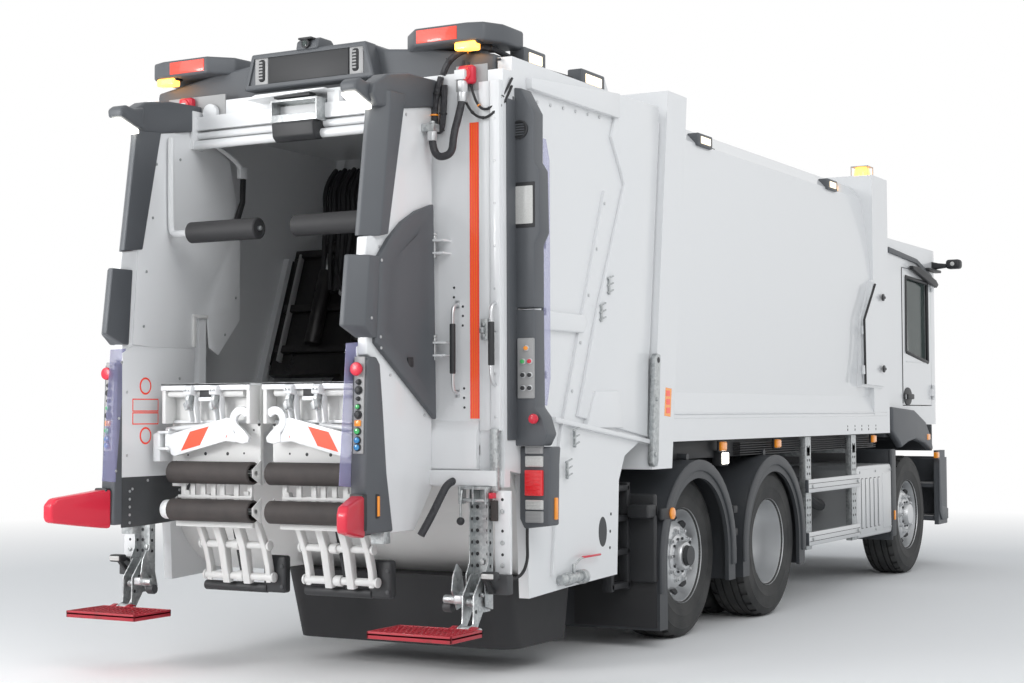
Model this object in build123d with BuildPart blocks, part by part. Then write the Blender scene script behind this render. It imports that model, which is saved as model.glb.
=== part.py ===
"""Three-axle refuse collection truck with a rear loader, in millimetres.

+X is forward, +Y is the truck's left, +Z is up. The origin is on the ground, in the middle of the
truck's box. Distances along the truck are given from the trailing axle, through along().
"""
import math
import os

from build123d import *

os.makedirs("parts", exist_ok=True)

SIDES = {"right": -1, "left": 1}

# ---------------------------------------------------------------- driving dimensions
rear_overhang = 3440  # trailing axle to the tips of the red paddles
bogie_spacing = 1350
wheelbase = 3600
front_overhang = 1410
overall_length = rear_overhang + bogie_spacing + wheelbase + front_overhang
trailing_x = rear_overhang - overall_length / 2
drive_at = bogie_spacing
front_at = bogie_spacing + wheelbase
nose_at = front_at + front_overhang
seat_gap = 0.3  # between pieces that move against each other at a seat or a bearing

# wheels
tyre_radius = 515
tyre_width = 300
tyre_round = 45
bead_radius = 286
rim_flange = 12
rim_wall = 14
disc_plate = 16
front_face = 1175  # from the truck's middle to the outer face of the tyre
rear_face = 1236
twin_gap = 34
single_dish = 60  # from the tyre's outer face in to the rim's disc
hub_radius = 150
hub_length = 120
hub_cap = 12
twin_hub_out = 110
spindle_radius = 62

# frame and axles
rail_middle = 390
rail_width = 80
rail_top = 1050
rail_height = 260
rail_tail = 600  # trailing axle to the frame's back end
cross_height = 120
cross_length = 90
front_king_pin = 840
trailing_king_pin = 900
king_pin_radius = 20
eye_radius = 50
eye_height = 150
ear_thickness = 30
beam_width = 110
beam_height = 100
axle_tube = 85
air_bag_radius = 75
air_bag_reach = 320
arch_gap = 70  # tyre tread to the inside of a mudguard
arch_wall = 20
arch_inner_side = 600
flap_bottom = 110
arch_bottom = 320
arch_tube = 22
lip_width = 24  # a mudguard's outer lip beyond its sheet
lip_drop = 95  # how far the lip reaches in over the wheel's rim of rubber
steered_reach = 655  # front axle to the back of the flap behind its wheel, clear of the steered tyre
flap_tube = 12

# refuse body
sill_bottom = 1240
sill_top = 1385
panel_bottom = 1545
panel_waist = 2350
panel_top = 3180
roof_edge = 3290
roof_crown = 3340
body_half_width = 1250
arch_outer_side = body_half_width
guard_proud = 10  # side guards beyond the body's side
guard_depth = 25
body_wall = 50
body_front = front_at - 790
seam_top_at = -430  # the seam between body and tailgate, at the rib's top
seam_lean = 0.1174  # how far the seam moves back for each millimetre down
seam_gap = 12
rib_top = 3400
rib_bottom = 1080
rib_half_width = 1275
rib_depth = 290
rib_leg_inside = 480
head_depth = 420
head_top = 3375
ejector_at = body_front - 860
ejector_plate = 80
ejector_gap = 6
service_door_plate = 24

# tailgate
gate_half_width = 1230
gate_plate = 60
gate_rear = -2420
gate_top = 3200
rear_wall_depth = 60
roof_box = 85  # width of the boxes along the tailgate's roof
gate_pivot = (seam_top_at, rib_top + 70)
gate_eye = 60
gate_pin = 28
lug_middle = 730
lug_width = 60
lug_gap = 5
mouth_half_width = 760
mouth_bottom = 1400
mouth_top = 3000
trough_at = -1620
trough_height = 1010
trough_radius = 500
trough_sheet = 30
guide_angle = 70
carriage_travel = 600
carriage_pivot = (-1280, 1600)
carriage_half_width = 1140
carriage_plate = 60
guide_rail = 40
shoe_low = 150
shoe_high = 850
shoe_half = 40
blade_length = 480
blade_thickness = 50
packer_eye = 45
packer_pin = 25
tub_bottom = 140
tub_right = 1010
tub_left = 430
tub_corner = 110
column_rear = -2300
column_depth = 110
column_inner = gate_half_width + seat_gap
column_outer = 1345
column_flare = 1416  # the widest place, over the lamp box
lamp_box_set = 50  # the lamp box ahead of the column above it
column_seat = 1231  # the flange that carries a lamp column on the tailgate's side
shield_thickness = 60
cover_thickness = 30

# cab
cab_back = front_at - 600
cab_nose = nose_at - 60
cab_half_width = 1150
cab_wall = 50
cab_floor = 1300
cab_roof = 2920
cab_pivot = (cab_nose - 100, 1000)
cab_arm_middle = 470
cab_arm_width = 60
cab_eye = 50
cab_pin = 26
cab_corner = 420
screen_half = 820
fender_outer = 1215
fender_bottom = 1115
fender_top = 1460
bumper_depth = 60
bumper_wall = 40
nose_corner = 400
bumper_half_width = 1225
bumper_top = 990
bumper_bottom = 380
step_box_top = 1060
step_box_at = cab_nose - 580
door_back = cab_nose - 1420
door_length = 930
door_sill = 1470
door_top = 2700
door_gap = 8
glass_thickness = 6
hinge_radius = 16
hinge_pin = 8
hinge_barrel = 70
hinge_stand = 17

# loading gear
lift_pivot = (-2520, 1480)
lift_pin = 24
lift_eye = 46
lift_inner = 40
lift_outer = 640
lift_arm = 36
lift_plate_at = -2760
roller_radius = 62
stop_roller = (-2700, 2420)
swing_pivot = (-2850, 610)
swing_length = 520
swing_pin = 12
step_hinge = (-2630, 330)
step_length = 300
step_inner = 750
step_outer = 1240
step_plate = 26
step_pin = 12
hose_radius = 20


def along(ahead):
    """The X of a place ahead of the trailing axle."""
    return trailing_x + ahead


def seam(height):
    """Where the rib's back face is at a height, ahead of the trailing axle."""
    return seam_top_at - seam_lean * (rib_top - height)


def block(low, high, mode=Mode.ADD):
    """A box between two corners whose X is given ahead of the trailing axle."""
    middle = [(a + b) / 2 for a, b in zip(low, high)]
    length, width, height = [abs(b - a) for a, b in zip(low, high)]
    with Locations((along(middle[0]), middle[1], middle[2])):
        Box(length, width, height, mode=mode)


def both(low, high, mode=Mode.ADD):
    """A block on each side of the truck, given on its left."""
    for side in SIDES.values():
        block((low[0], side * low[1], low[2]), (high[0], side * high[1], high[2]), mode)


def rod(start, end, radius, mode=Mode.ADD):
    """A round bar between two points whose X is given ahead of the trailing axle."""
    first = Vector(along(start[0]), start[1], start[2])
    way = Vector(along(end[0]), end[1], end[2]) - first
    with Locations(Plane(origin=first, z_dir=way)):
        Cylinder(radius, way.length, align=(Align.CENTER, Align.CENTER, Align.MIN), mode=mode)


def both_rods(start, end, radius, mode=Mode.ADD):
    """A round bar on each side of the truck, given on its left."""
    for side in SIDES.values():
        rod((start[0], side * start[1], start[2]), (end[0], side * end[1], end[2]), radius, mode)


def plate(points, near, far, side, mode=Mode.ADD):
    """A side view's outline, from one distance off the truck's middle to another on one side."""
    with BuildSketch(Plane.XZ.offset(-side * near)) as outline:
        Polygon(*[(along(ahead), height) for ahead, height in points], align=None)
    extrude(outline.sketch, amount=-side * (far - near), mode=mode)


def both_plates(points, near, far, mode=Mode.ADD):
    """The same outline on each side of the truck."""
    for side in SIDES.values():
        plate(points, near, far, side, mode)


def across(points, half_width, mode=Mode.ADD):
    """A side view's outline, right across the truck."""
    plate(points, -half_width, half_width, 1, mode)


def upright(points, rear, front, mode=Mode.ADD):
    """An outline seen from behind, across and up, pushed from one distance along the truck to another."""
    with BuildSketch(Plane.YZ.offset(along(rear))) as outline:
        Polygon(*points, align=None)
    extrude(outline.sketch, amount=front - rear, mode=mode)


def both_uprights(points, rear, front):
    """The same outline on each side of the truck, given on its left."""
    for side in SIDES.values():
        upright([(side * across_by, height) for across_by, height in points], rear, front)


def keep(piece, name):
    """Labels a finished piece and writes it."""
    piece.part.label = name
    export_step(piece.part, f"parts/{name}.step")


# ---------------------------------------------------------------- wheels
def make_tyres(name, ahead, side, faces):
    """The tyres of one wheel, given by their outer faces."""
    with BuildPart() as tyres:
        for face in faces:
            back = face - tyre_width
            outline = [
                (back + tyre_round, bead_radius),
                (back, bead_radius + tyre_round),
                (back, tyre_radius - tyre_round),
                (back + tyre_round, tyre_radius),
                (face - tyre_round, tyre_radius),
                (face, tyre_radius - tyre_round),
                (face, bead_radius + tyre_round),
                (face - tyre_round, bead_radius),
            ]
            with BuildSketch(Plane.YZ.offset(along(ahead))) as section:
                Polygon(*[(side * y, tyre_radius + z) for y, z in outline], align=None)
            revolve(section.sketch, axis=Axis((along(ahead), 0, tyre_radius), (0, 1, 0)))
    keep(tyres, name)


def barrel_outline(face, disc, plate_back):
    """Upper half of a rim's section down to the back and the front of its disc."""
    outer, inner = face - tyre_round + 24, face - tyre_width + tyre_round - 24
    seat, inside = bead_radius - seat_gap, bead_radius - rim_wall
    return [
        (disc, inside),
        (outer, inside),
        (outer, bead_radius + rim_flange),
        (outer - 10, bead_radius + rim_flange),
        (outer - 10, seat),
        (inner + 10, seat),
        (inner + 10, bead_radius + rim_flange),
        (inner, bead_radius + rim_flange),
        (inner, inside),
        (plate_back, inside),
    ]


def make_rim(name, ahead, side, faces):
    """A rim with its disc and hub, or two rims back to back on one hub."""
    bore = spindle_radius + seat_gap
    with BuildPart() as rim:
        if len(faces) == 1:
            disc = faces[0] - single_dish
            back, end = disc - hub_length, faces[0]
            outline = barrel_outline(faces[0], disc, disc - disc_plate)
            outline += [
                (disc - disc_plate, hub_radius),
                (back, hub_radius),
                (back, bore),
                (end - hub_cap, bore),
                (end - hub_cap, 0),
                (end, 0),
                (end, bore + 25),
                (disc + 15, hub_radius - 25),
                (disc, hub_radius - 25),
            ]
            outlines = [outline]
        else:
            middle = (faces[0] + faces[1] - tyre_width) / 2
            disc = middle + disc_plate
            end = disc + twin_hub_out
            outer = barrel_outline(faces[0], middle + 90, middle + 60)
            outer += [
                (middle, hub_radius + 60),
                (middle, hub_radius),
                (middle - hub_length / 2, hub_radius),
                (middle - hub_length / 2, bore),
                (end - hub_cap, bore),
                (end - hub_cap, 0),
                (end, 0),
                (end, bore + 40),
                (disc, bore + 60),
                (disc, hub_radius + 60),
            ]
            inner = [(2 * middle - y, z) for y, z in barrel_outline(faces[0], middle + 90, middle + 60)]
            inner += [
                (middle, hub_radius + 60),
                (middle, hub_radius - 20),
                (middle - disc_plate, hub_radius - 20),
                (middle - disc_plate, hub_radius + 60),
            ]
            outlines = [outer, inner]
        for outline in outlines:
            with BuildSketch(Plane.YZ.offset(along(ahead))) as section:
                Polygon(*[(side * y, tyre_radius + z) for y, z in outline], align=None)
            revolve(section.sketch, axis=Axis((along(ahead), 0, tyre_radius), (0, 1, 0)))
    keep(rim, name)


twin_inner_face = rear_face - tyre_width - twin_gap
# name, place, outer faces of its tyres
WHEELS = (
    ("front", front_at, (front_face,)),
    ("drive", drive_at, (rear_face, twin_inner_face)),
    ("trailing", 0, (rear_face,)),
)
for axle, ahead, faces in WHEELS:
    for side_name, side in SIDES.items():
        make_tyres(f"tyre_{axle}_{side_name}", ahead, side, faces)
        make_rim(f"rim_{axle}_{side_name}", ahead, side, faces)

# ---------------------------------------------------------------- axles and knuckles
half_eye = eye_height / 2
# name, place, king pin's distance from the middle, outer face of its tyre
STEERED = (
    ("front", front_at, front_king_pin, front_face),
    ("trailing", 0, trailing_king_pin, rear_face),
)
for axle, ahead, king_pin, face in STEERED:
    for side_name, side in SIDES.items():
        with BuildPart() as knuckle:
            low, high = tyre_radius - half_eye, tyre_radius + half_eye
            for base, top in ((low - ear_thickness, low), (high, high + ear_thickness)):
                rod((ahead, side * king_pin, base), (ahead, side * king_pin, top), eye_radius + 10)
                block((ahead - 50, side * king_pin, base), (ahead + 50, side * (king_pin + 92), top))
            block(
                (ahead - 50, side * (king_pin + eye_radius + 12), low - ear_thickness),
                (ahead + 50, side * (king_pin + 92), high + ear_thickness),
            )
            rod((ahead, side * king_pin, low), (ahead, side * king_pin, high), king_pin_radius)
            tip = face - hub_cap - 6
            rod(
                (ahead, side * (king_pin + 90), tyre_radius),
                (ahead, side * tip, tyre_radius),
                spindle_radius,
            )
        keep(knuckle, f"knuckle_{axle}_{side_name}")

rail_bottom = rail_top - rail_height
rail_inside, rail_outside = rail_middle - rail_width / 2, rail_middle + rail_width / 2


def springs(ahead):
    """Two spring beams with an air bag at each end, from an axle up to the rails."""
    both(
        (ahead - air_bag_reach - 60, rail_inside, tyre_radius + 50),
        (ahead + air_bag_reach + 60, rail_outside, tyre_radius + 90),
    )
    for reach in (-air_bag_reach, air_bag_reach):
        both_rods(
            (ahead + reach, rail_middle, tyre_radius + 90),
            (ahead + reach, rail_middle, rail_bottom),
            air_bag_radius,
        )


for axle, ahead, king_pin, face in STEERED:
    with BuildPart() as beam:
        block(
            (ahead - beam_width / 2, 1 - king_pin, tyre_radius - beam_height / 2),
            (ahead + beam_width / 2, king_pin - 1, tyre_radius + beam_height / 2),
        )
        for side in SIDES.values():
            base, top = tyre_radius - half_eye + seat_gap, tyre_radius + half_eye - seat_gap
            block(
                (ahead - 80, side * (king_pin - eye_radius - 2), base - 40),
                (ahead + 80, side * (king_pin + eye_radius + 30), top + 40),
                Mode.SUBTRACT,
            )
            rod((ahead, side * king_pin, base), (ahead, side * king_pin, top), eye_radius)
            block(
                (ahead - 35, side * (king_pin - 75), base + 20),
                (ahead + 35, side * king_pin, top - 20),
            )
            rod(
                (ahead, side * king_pin, base - 1),
                (ahead, side * king_pin, top + 1),
                king_pin_radius + seat_gap,
                Mode.SUBTRACT,
            )
        springs(ahead)
    keep(beam, f"{axle}_axle")

with BuildPart() as drive_axle:
    hub_end = (rear_face + twin_inner_face - tyre_width) / 2 + disc_plate + twin_hub_out - hub_cap - 6
    rod((drive_at, -hub_end, tyre_radius), (drive_at, hub_end, tyre_radius), spindle_radius)
    rod((drive_at, -820, tyre_radius), (drive_at, 820, tyre_radius), axle_tube)
    with Locations((along(drive_at), 0, tyre_radius)):
        Sphere(200)
    rod((drive_at, 0, tyre_radius), (drive_at + 290, 0, tyre_radius + 60), 80)
    springs(drive_at)
keep(drive_axle, "drive_axle")

# ---------------------------------------------------------------- frame and drive
rail_front = nose_at - bumper_depth
with BuildPart() as frame_rails:
    both((-rail_tail, rail_inside, rail_bottom), (rail_front - 500, rail_outside, rail_top))
    both((rail_front - 501, rail_inside, rail_bottom), (rail_front, rail_outside, rail_bottom + 130))
    both((-rail_tail, rail_inside, rail_top), (body_front, rail_outside, sill_bottom))
    for ahead in (-rail_tail + 50, 675, 2200, 3300, 3850):
        block(
            (ahead - cross_length / 2, -rail_middle, rail_top - cross_height),
            (ahead + cross_length / 2, rail_middle, rail_top - 5),
        )
    block(
        (rail_front - 105, -rail_middle, rail_bottom + 5),
        (rail_front - 15, rail_middle, rail_bottom + 95),
    )
    pivot_at, pivot_height = cab_pivot
    both(
        (pivot_at - 50, rail_inside, rail_bottom + 100),
        (pivot_at + 50, rail_outside, pivot_height + 20),
    )
    both_rods(
        (pivot_at, rail_inside, pivot_height),
        (pivot_at, cab_arm_middle + cab_arm_width / 2 + 25, pivot_height),
        cab_pin,
    )
keep(frame_rails, "frame_rails")

engine_back = front_at - 330
with BuildPart() as engine:
    block((engine_back, -300, 700), (engine_back + 1140, 300, 1230))
keep(engine, "engine")

with BuildPart() as driveline:
    gearbox_back = engine_back - 670
    block((gearbox_back, -220, 720), (engine_back, 220, 1120))
    joint_at = drive_at + 310
    rod((gearbox_back + 5, 0, 830), (joint_at, 0, tyre_radius + 60), 50)
    both((engine_back - 420, 215, rail_bottom + 20), (engine_back - 320, rail_inside, rail_bottom + 100))
keep(driveline, "driveline")

box_front = front_at - 660
box_back = box_front - 910
box_bevel = 40
box_bottom = 400
box_top = 980
with BuildPart() as exhaust_box:
    plate(
        [
            (box_back, box_bottom), (box_front, box_bottom),
            (box_front, box_top - box_bevel), (box_front - box_bevel, box_top),
            (box_back + box_bevel, box_top), (box_back, box_top - box_bevel),
        ],
        560, 1220, SIDES["right"],
    )
    for ahead in (box_back + 120, box_front - 190):
        block((ahead, -rail_outside, 850), (ahead + 80, -561, 930))
keep(exhaust_box, "exhaust_box")

tank_front = box_front - 90
tank_back = tank_front - 1700
with BuildPart() as fuel_tank:
    block((tank_back, 560, box_bottom), (tank_front, 1160, box_top))
    fillet(fuel_tank.edges().filter_by(Axis.X), 90)
    for ahead in (tank_back + 200, tank_front - 300):
        block((ahead, rail_outside, 800), (ahead + 80, 600, 880))
    rod((tank_front - 250, 900, box_top - 5), (tank_front - 250, 900, box_top + 30), 45)
keep(fuel_tank, "fuel_tank")

with BuildPart() as air_tanks:
    bottle_back = box_back - 900
    for height in (560, 860):
        rod((bottle_back, -760, height), (bottle_back + 770, -760, height), 125)
    for ahead in (bottle_back + 120, bottle_back + 570):
        block((ahead, -rail_outside, 790), (ahead + 50, -760, 850))
        block((ahead, -800, 560), (ahead + 50, -740, 860))
keep(air_tanks, "air_tanks")

with BuildPart() as side_guards:
    guard_outside = body_half_width + guard_proud
    guard_inside = guard_outside - guard_depth
    guard_back, guard_front = drive_at + 750, box_back - 80
    for height in (430, 820):
        both((guard_back, guard_inside, height), (guard_front, guard_outside, height + 100))
    for ahead in (guard_back + 250, guard_front - 30):
        both((ahead - 30, guard_inside - 55, 420), (ahead + 30, guard_inside + 1, 1200))
        both((ahead - 30, rail_outside, 1100), (ahead + 30, guard_inside - 54, 1160))
keep(side_guards, "side_guards")

arch_inner = tyre_radius + arch_gap
arch_outer = arch_inner + arch_wall
with BuildPart() as mudguards:
    # wheel's place, bottom of the rear flap, bottom of the front flap
    for ahead, rear_bottom, fore_bottom in (
        (0, flap_bottom, arch_bottom),
        (drive_at, arch_bottom, arch_bottom),
    ):
        for side in SIDES.values():
            for near, far, inner in (
                (arch_inner_side, arch_outer_side, arch_inner),
                (arch_outer_side - 1, arch_outer_side + lip_width, arch_inner - lip_drop),
            ):
                with BuildSketch(Plane.XZ.offset(-side * near)) as arch:
                    with Locations((along(ahead), tyre_radius)):
                        Circle(arch_outer)
                        Circle(inner, mode=Mode.SUBTRACT)
                    with Locations((along(ahead), tyre_radius - arch_outer / 2)):
                        Rectangle(2 * arch_outer + 2, arch_outer, mode=Mode.SUBTRACT)
                    for edge, bottom in ((-1, rear_bottom), (1, fore_bottom)):
                        middle = along(ahead) + edge * (inner + arch_outer) / 2
                        with Locations((middle, (tyre_radius + 1 + bottom) / 2)):
                            Rectangle(arch_outer - inner, tyre_radius + 1 - bottom)
                extrude(arch.sketch, amount=-side * (far - near))
        tube_height = tyre_radius + arch_outer + arch_tube - 6
        both_rods((ahead, rail_outside, tube_height), (ahead, 1200, tube_height), arch_tube)
    # the half behind each front wheel
    flap_at = front_at - steered_reach
    both((flap_at, 880, 360), (flap_at + arch_wall, 1215, 900))
    both_rods((flap_at + flap_tube, rail_outside, 860), (flap_at + flap_tube, 1190, 860), flap_tube)
keep(mudguards, "mudguards")

inside = bumper_half_width - bumper_wall
past = 1  # how far a cut runs past what it opens
with BuildPart() as bumper:
    for half, reach, corner, more, mode in (
        (bumper_half_width, nose_at, nose_corner, 0, Mode.ADD),
        (inside, nose_at - bumper_depth, nose_corner - bumper_depth, past, Mode.SUBTRACT),
    ):
        back = step_box_at - more
        with BuildSketch(Plane.XY.offset(bumper_bottom - more)) as plan:
            with Locations((along((back + reach) / 2), 0)):
                Rectangle(reach - back, 2 * half)
            fillet(plan.vertices().group_by(Axis.X)[-1], corner)
        extrude(plan.sketch, amount=bumper_top - bumper_bottom + 2 * more, mode=mode)
    both((step_box_at, inside, bumper_bottom), (step_box_at + 230, bumper_half_width, step_box_top))
    for height in (420, 720):
        both((step_box_at + 20, 960, height), (step_box_at + 330, inside + 1, height + 30))
    both((step_box_at + 300, 960, 420), (step_box_at + 330, inside + 1, 980))
keep(bumper, "bumper")


# ---------------------------------------------------------------- refuse body
def body_face(inset):
    """The body's section across the truck, drawn inside its skin by an inset."""
    with BuildSketch(Plane.YZ) as section:
        with BuildLine():
            for side in SIDES.values():
                Polyline(
                    (0, sill_bottom),
                    (side * body_half_width, sill_bottom),
                    (side * body_half_width, sill_top),
                    (side * (body_half_width - 45), panel_bottom),
                )
                ThreePointArc(
                    (side * (body_half_width - 45), panel_bottom),
                    (side * (body_half_width - 12), panel_waist),
                    (side * (body_half_width - 100), panel_top),
                )
                Polyline(
                    (side * (body_half_width - 100), panel_top),
                    (side * (body_half_width - 200), roof_edge),
                    (0, roof_crown),
                )
        make_face()
        if inset:
            offset(amount=-inset, kind=Kind.INTERSECTION, mode=Mode.REPLACE)
    return section.sketch


frame_back, frame_front = body_front - 780, body_front - 220
SERVICE_DOOR = [
    (frame_back + 290, 2500), (frame_back, 2160), (frame_back + 10, 1620),
    (frame_front, 1610), (frame_front, 2500),
]
door_edge = 20  # the service door inside its frame
with BuildPart() as body_shell:
    rear_end = seam(rib_bottom) - 50
    skin = body_face(0)
    extrude(skin.moved(Location((along(rear_end), 0, 0))), amount=body_front - rear_end)
    rib = [
        (seam(rib_bottom), rib_bottom),
        (seam(rib_bottom) + rib_depth, rib_bottom),
        (seam(rib_top) + rib_depth, rib_top),
        (seam(rib_top), rib_top),
    ]
    across(rib, rib_half_width)
    block((body_front - head_depth, -body_half_width, sill_bottom), (body_front, body_half_width, head_top))
    plate(SERVICE_DOOR, body_half_width - 100, body_half_width + 8, SIDES["right"])
    behind = [
        (seam(rib_bottom) - 200, rib_bottom - 100),
        (seam(rib_bottom - 100), rib_bottom - 100),
        (seam(rib_top + 100), rib_top + 100),
        (seam(rib_bottom) - 200, rib_top + 100),
    ]
    across(behind, rib_half_width + 10, Mode.SUBTRACT)
    cavity = body_face(body_wall)
    cavity_start = rear_end - 10
    extrude(
        cavity.moved(Location((along(cavity_start), 0, 0))),
        amount=body_front - body_wall - cavity_start,
        mode=Mode.SUBTRACT,
    )
    block(
        (seam(rib_bottom) - 100, -rib_leg_inside, rib_bottom - 10),
        (seam(rib_bottom) + rib_depth + 100, rib_leg_inside, sill_bottom),
        Mode.SUBTRACT,
    )
    block(
        (frame_back + 120, -body_half_width - 20, 1700),
        (frame_front - 90, -body_half_width + 200, 2100),
        Mode.SUBTRACT,
    )
    ear = [
        (gate_pivot[0] - 60, rib_top - 20),
        (gate_pivot[0] + 160, rib_top - 20),
        (gate_pivot[0] + 50, gate_pivot[1] + gate_eye),
        (gate_pivot[0] - 50, gate_pivot[1] + gate_eye),
    ]
    ear_inside = lug_middle - lug_width / 2 - lug_gap
    ear_outside = lug_middle + lug_width / 2 + lug_gap
    both_plates(ear, ear_inside - 50, ear_inside)
    both_plates(ear, ear_outside, ear_outside + 50)
    both_rods(
        (gate_pivot[0], ear_inside - 10, gate_pivot[1]),
        (gate_pivot[0], ear_outside + 10, gate_pivot[1]),
        gate_pin,
    )
keep(body_shell, "body_shell")

with BuildPart() as ejector:
    face = body_face(body_wall + ejector_gap)
    extrude(face.moved(Location((along(ejector_at), 0, 0))), amount=ejector_plate)
    floor = sill_bottom + body_wall
    both((ejector_at, 700, floor + seat_gap), (ejector_at + 600, 760, floor + 60))
    brace = [
        (ejector_at + 70, 1400), (ejector_at + 600, 1340),
        (ejector_at + 600, 1500), (ejector_at + 70, 2500),
    ]
    across(brace, 300)
    block((ejector_at + 500, -760, 1340), (ejector_at + 600, 760, 1400))
    both((ejector_at + 60, 700, floor + 20), (ejector_at + 600, 760, 1400))
keep(ejector, "ejector")

door_hinge_y = body_half_width + 8 + seat_gap + service_door_plate
with BuildPart() as service_door:
    near = body_half_width + 8 + seat_gap
    hinge_at = frame_back - 10
    inset = [
        (frame_back + 275, 2500 - door_edge), (frame_back + door_edge, 2160),
        (frame_back + door_edge + 5, 1640), (frame_front - 15, 1630), (frame_front - 15, 2500 - door_edge),
    ]
    plate(inset, near, near + service_door_plate, SIDES["right"])
    for height in (1720, 2040):
        top = height + hinge_barrel
        rod((hinge_at, -door_hinge_y, height), (hinge_at, -door_hinge_y, top), hinge_radius)
        block((hinge_at, -door_hinge_y - 6, height), (hinge_at + 50, -door_hinge_y + 6, top))
        rod(
            (hinge_at, -door_hinge_y, height - 1),
            (hinge_at, -door_hinge_y, top + 1),
            hinge_pin + seat_gap,
            Mode.SUBTRACT,
        )
keep(service_door, "service_door")

with BuildPart() as beacons:
    beacon_at = body_front - 140
    both_rods((beacon_at, 1080, head_top), (beacon_at, 1080, head_top + 30), 75)
    both_rods((beacon_at, 1080, head_top + 30), (beacon_at, 1080, head_top + 110), 55)
keep(beacons, "beacons")

# ---------------------------------------------------------------- tailgate
gate_inside = gate_half_width - gate_plate
GATE_SIDE = [
    (seam(gate_top) - seam_gap, gate_top),
    (gate_rear, gate_top),
    (gate_rear, 1130),
    (-2200, 1100),
    (-2160, 450),
    (-1730, 470),
    (-1100, 490),
    (-1070, 1030),
    (-990, 1170),
    (-780, 1250),
    (seam(1250) - seam_gap, 1250),
]


def guide_point(up, back):
    """A place given along the packer's guide from the carriage's pivot, and square to it."""
    slope = math.radians(guide_angle)
    return (
        carriage_pivot[0] + up * math.cos(slope) - back * math.sin(slope),
        carriage_pivot[1] + up * math.sin(slope) + back * math.cos(slope),
    )


def guide_strip(low, high, front, back):
    """A strip along the guide between two distances up it and two distances square to it."""
    corners = ((low, front), (high, front), (high, back), (low, back))
    return [guide_point(up, behind) for up, behind in corners]


with BuildPart() as gate_shell:
    both_plates(GATE_SIDE, gate_inside, gate_half_width)
    block((gate_rear, -gate_half_width, 1040), (gate_rear + rear_wall_depth, gate_half_width, gate_top))
    block(
        (gate_rear - 1, -mouth_half_width, mouth_bottom),
        (gate_rear + rear_wall_depth + 1, mouth_half_width, mouth_top),
        Mode.SUBTRACT,
    )
    roof_front = seam(gate_top - 60) - seam_gap
    block((gate_rear, -gate_half_width, gate_top - 60), (roof_front, gate_half_width, gate_top))
    # boxes along the roof's sides
    both(
        (gate_rear + 96, gate_half_width - roof_box, gate_top - 1),
        (-1070, gate_half_width, gate_top + roof_box - 5),
    )
    for front in (-shoe_half - seat_gap - guide_rail, shoe_half + seat_gap):
        strip = guide_strip(shoe_low - carriage_travel, shoe_high, front, front + guide_rail)
        both_plates(strip, gate_inside - guide_rail, gate_inside)
    lug = [
        (gate_pivot[0] - 45, gate_pivot[1] - 40),
        (gate_pivot[0] - 45, gate_top - 5),
        (gate_pivot[0] - 400, gate_top - 5),
        (gate_pivot[0] - 70, gate_pivot[1] + 30),
        (gate_pivot[0] - 20, gate_pivot[1] + gate_eye - 5),
    ]
    both_plates(lug, lug_middle - lug_width / 2, lug_middle + lug_width / 2)
    both_rods(
        (gate_pivot[0], lug_middle - lug_width / 2, gate_pivot[1]),
        (gate_pivot[0], lug_middle + lug_width / 2, gate_pivot[1]),
        gate_eye,
    )
    both_rods(
        (gate_pivot[0], lug_middle - lug_width / 2 - 1, gate_pivot[1]),
        (gate_pivot[0], lug_middle + lug_width / 2 + 1, gate_pivot[1]),
        gate_pin + seat_gap,
        Mode.SUBTRACT,
    )
    ear = [
        (gate_rear + 1, lift_pivot[1] - 100),
        (gate_rear + 1, lift_pivot[1] - 240),
        (lift_pivot[0] - 40, lift_pivot[1] - 40),
        (lift_pivot[0] - 40, lift_pivot[1] + 40),
        (lift_pivot[0] + 40, lift_pivot[1] + 40),
    ]
    both_plates(ear, lift_outer + 20, lift_outer + 60)
    across(ear, lift_inner - 10)
    block((gate_rear - 80, -1045, 3150), (gate_rear, -985, gate_top))
    rod(
        (lift_pivot[0], -lift_outer - 60, lift_pivot[1]),
        (lift_pivot[0], lift_outer + 60, lift_pivot[1]),
        lift_pin,
    )
keep(gate_shell, "gate_shell")

with BuildPart() as trough:
    with BuildSketch(Plane.XZ.offset(-gate_inside)) as bowl:
        with Locations((along(trough_at), trough_height)):
            Circle(trough_radius + trough_sheet)
            Circle(trough_radius, mode=Mode.SUBTRACT)
        with Locations((along(trough_at), 900 + trough_radius)):
            Rectangle(3 * trough_radius, 2 * trough_radius, mode=Mode.SUBTRACT)
        floor = sill_bottom + body_wall
        lip = seam(floor) - seam_gap
        wall_front = gate_rear + rear_wall_depth
        for outline in (
            [(-2105, 890), (-2142, 890), (wall_front, 1350), (wall_front, 1410)],
            [
                (-1137, 890), (-1098, 890), (-1040, 1080), (-960, 1190), (-770, floor - 32),
                (lip, floor - 32), (lip, floor - 2), (-790, floor - 2), (-985, 1222), (-1070, 1095),
            ],
        ):
            Polygon(*[(along(ahead), height) for ahead, height in outline], align=None)
    extrude(bowl.sketch, amount=2 * gate_inside)
keep(trough, "trough")

with BuildPart() as tub:
    section = [(-2080, 540), (-1950, tub_bottom), (-1260, tub_bottom), (-1180, 540)]
    plate(section, -tub_left, tub_right, SIDES["right"])
    corners = tub.edges().filter_by(lambda edge: edge.bounding_box().size.Z > 200)
    fillet(corners, tub_corner)
    rod(
        (trough_at, -tub_right - 1, trough_height),
        (trough_at, tub_left + 1, trough_height),
        trough_radius + trough_sheet + seat_gap,
        Mode.SUBTRACT,
    )
keep(tub, "tub")

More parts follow.
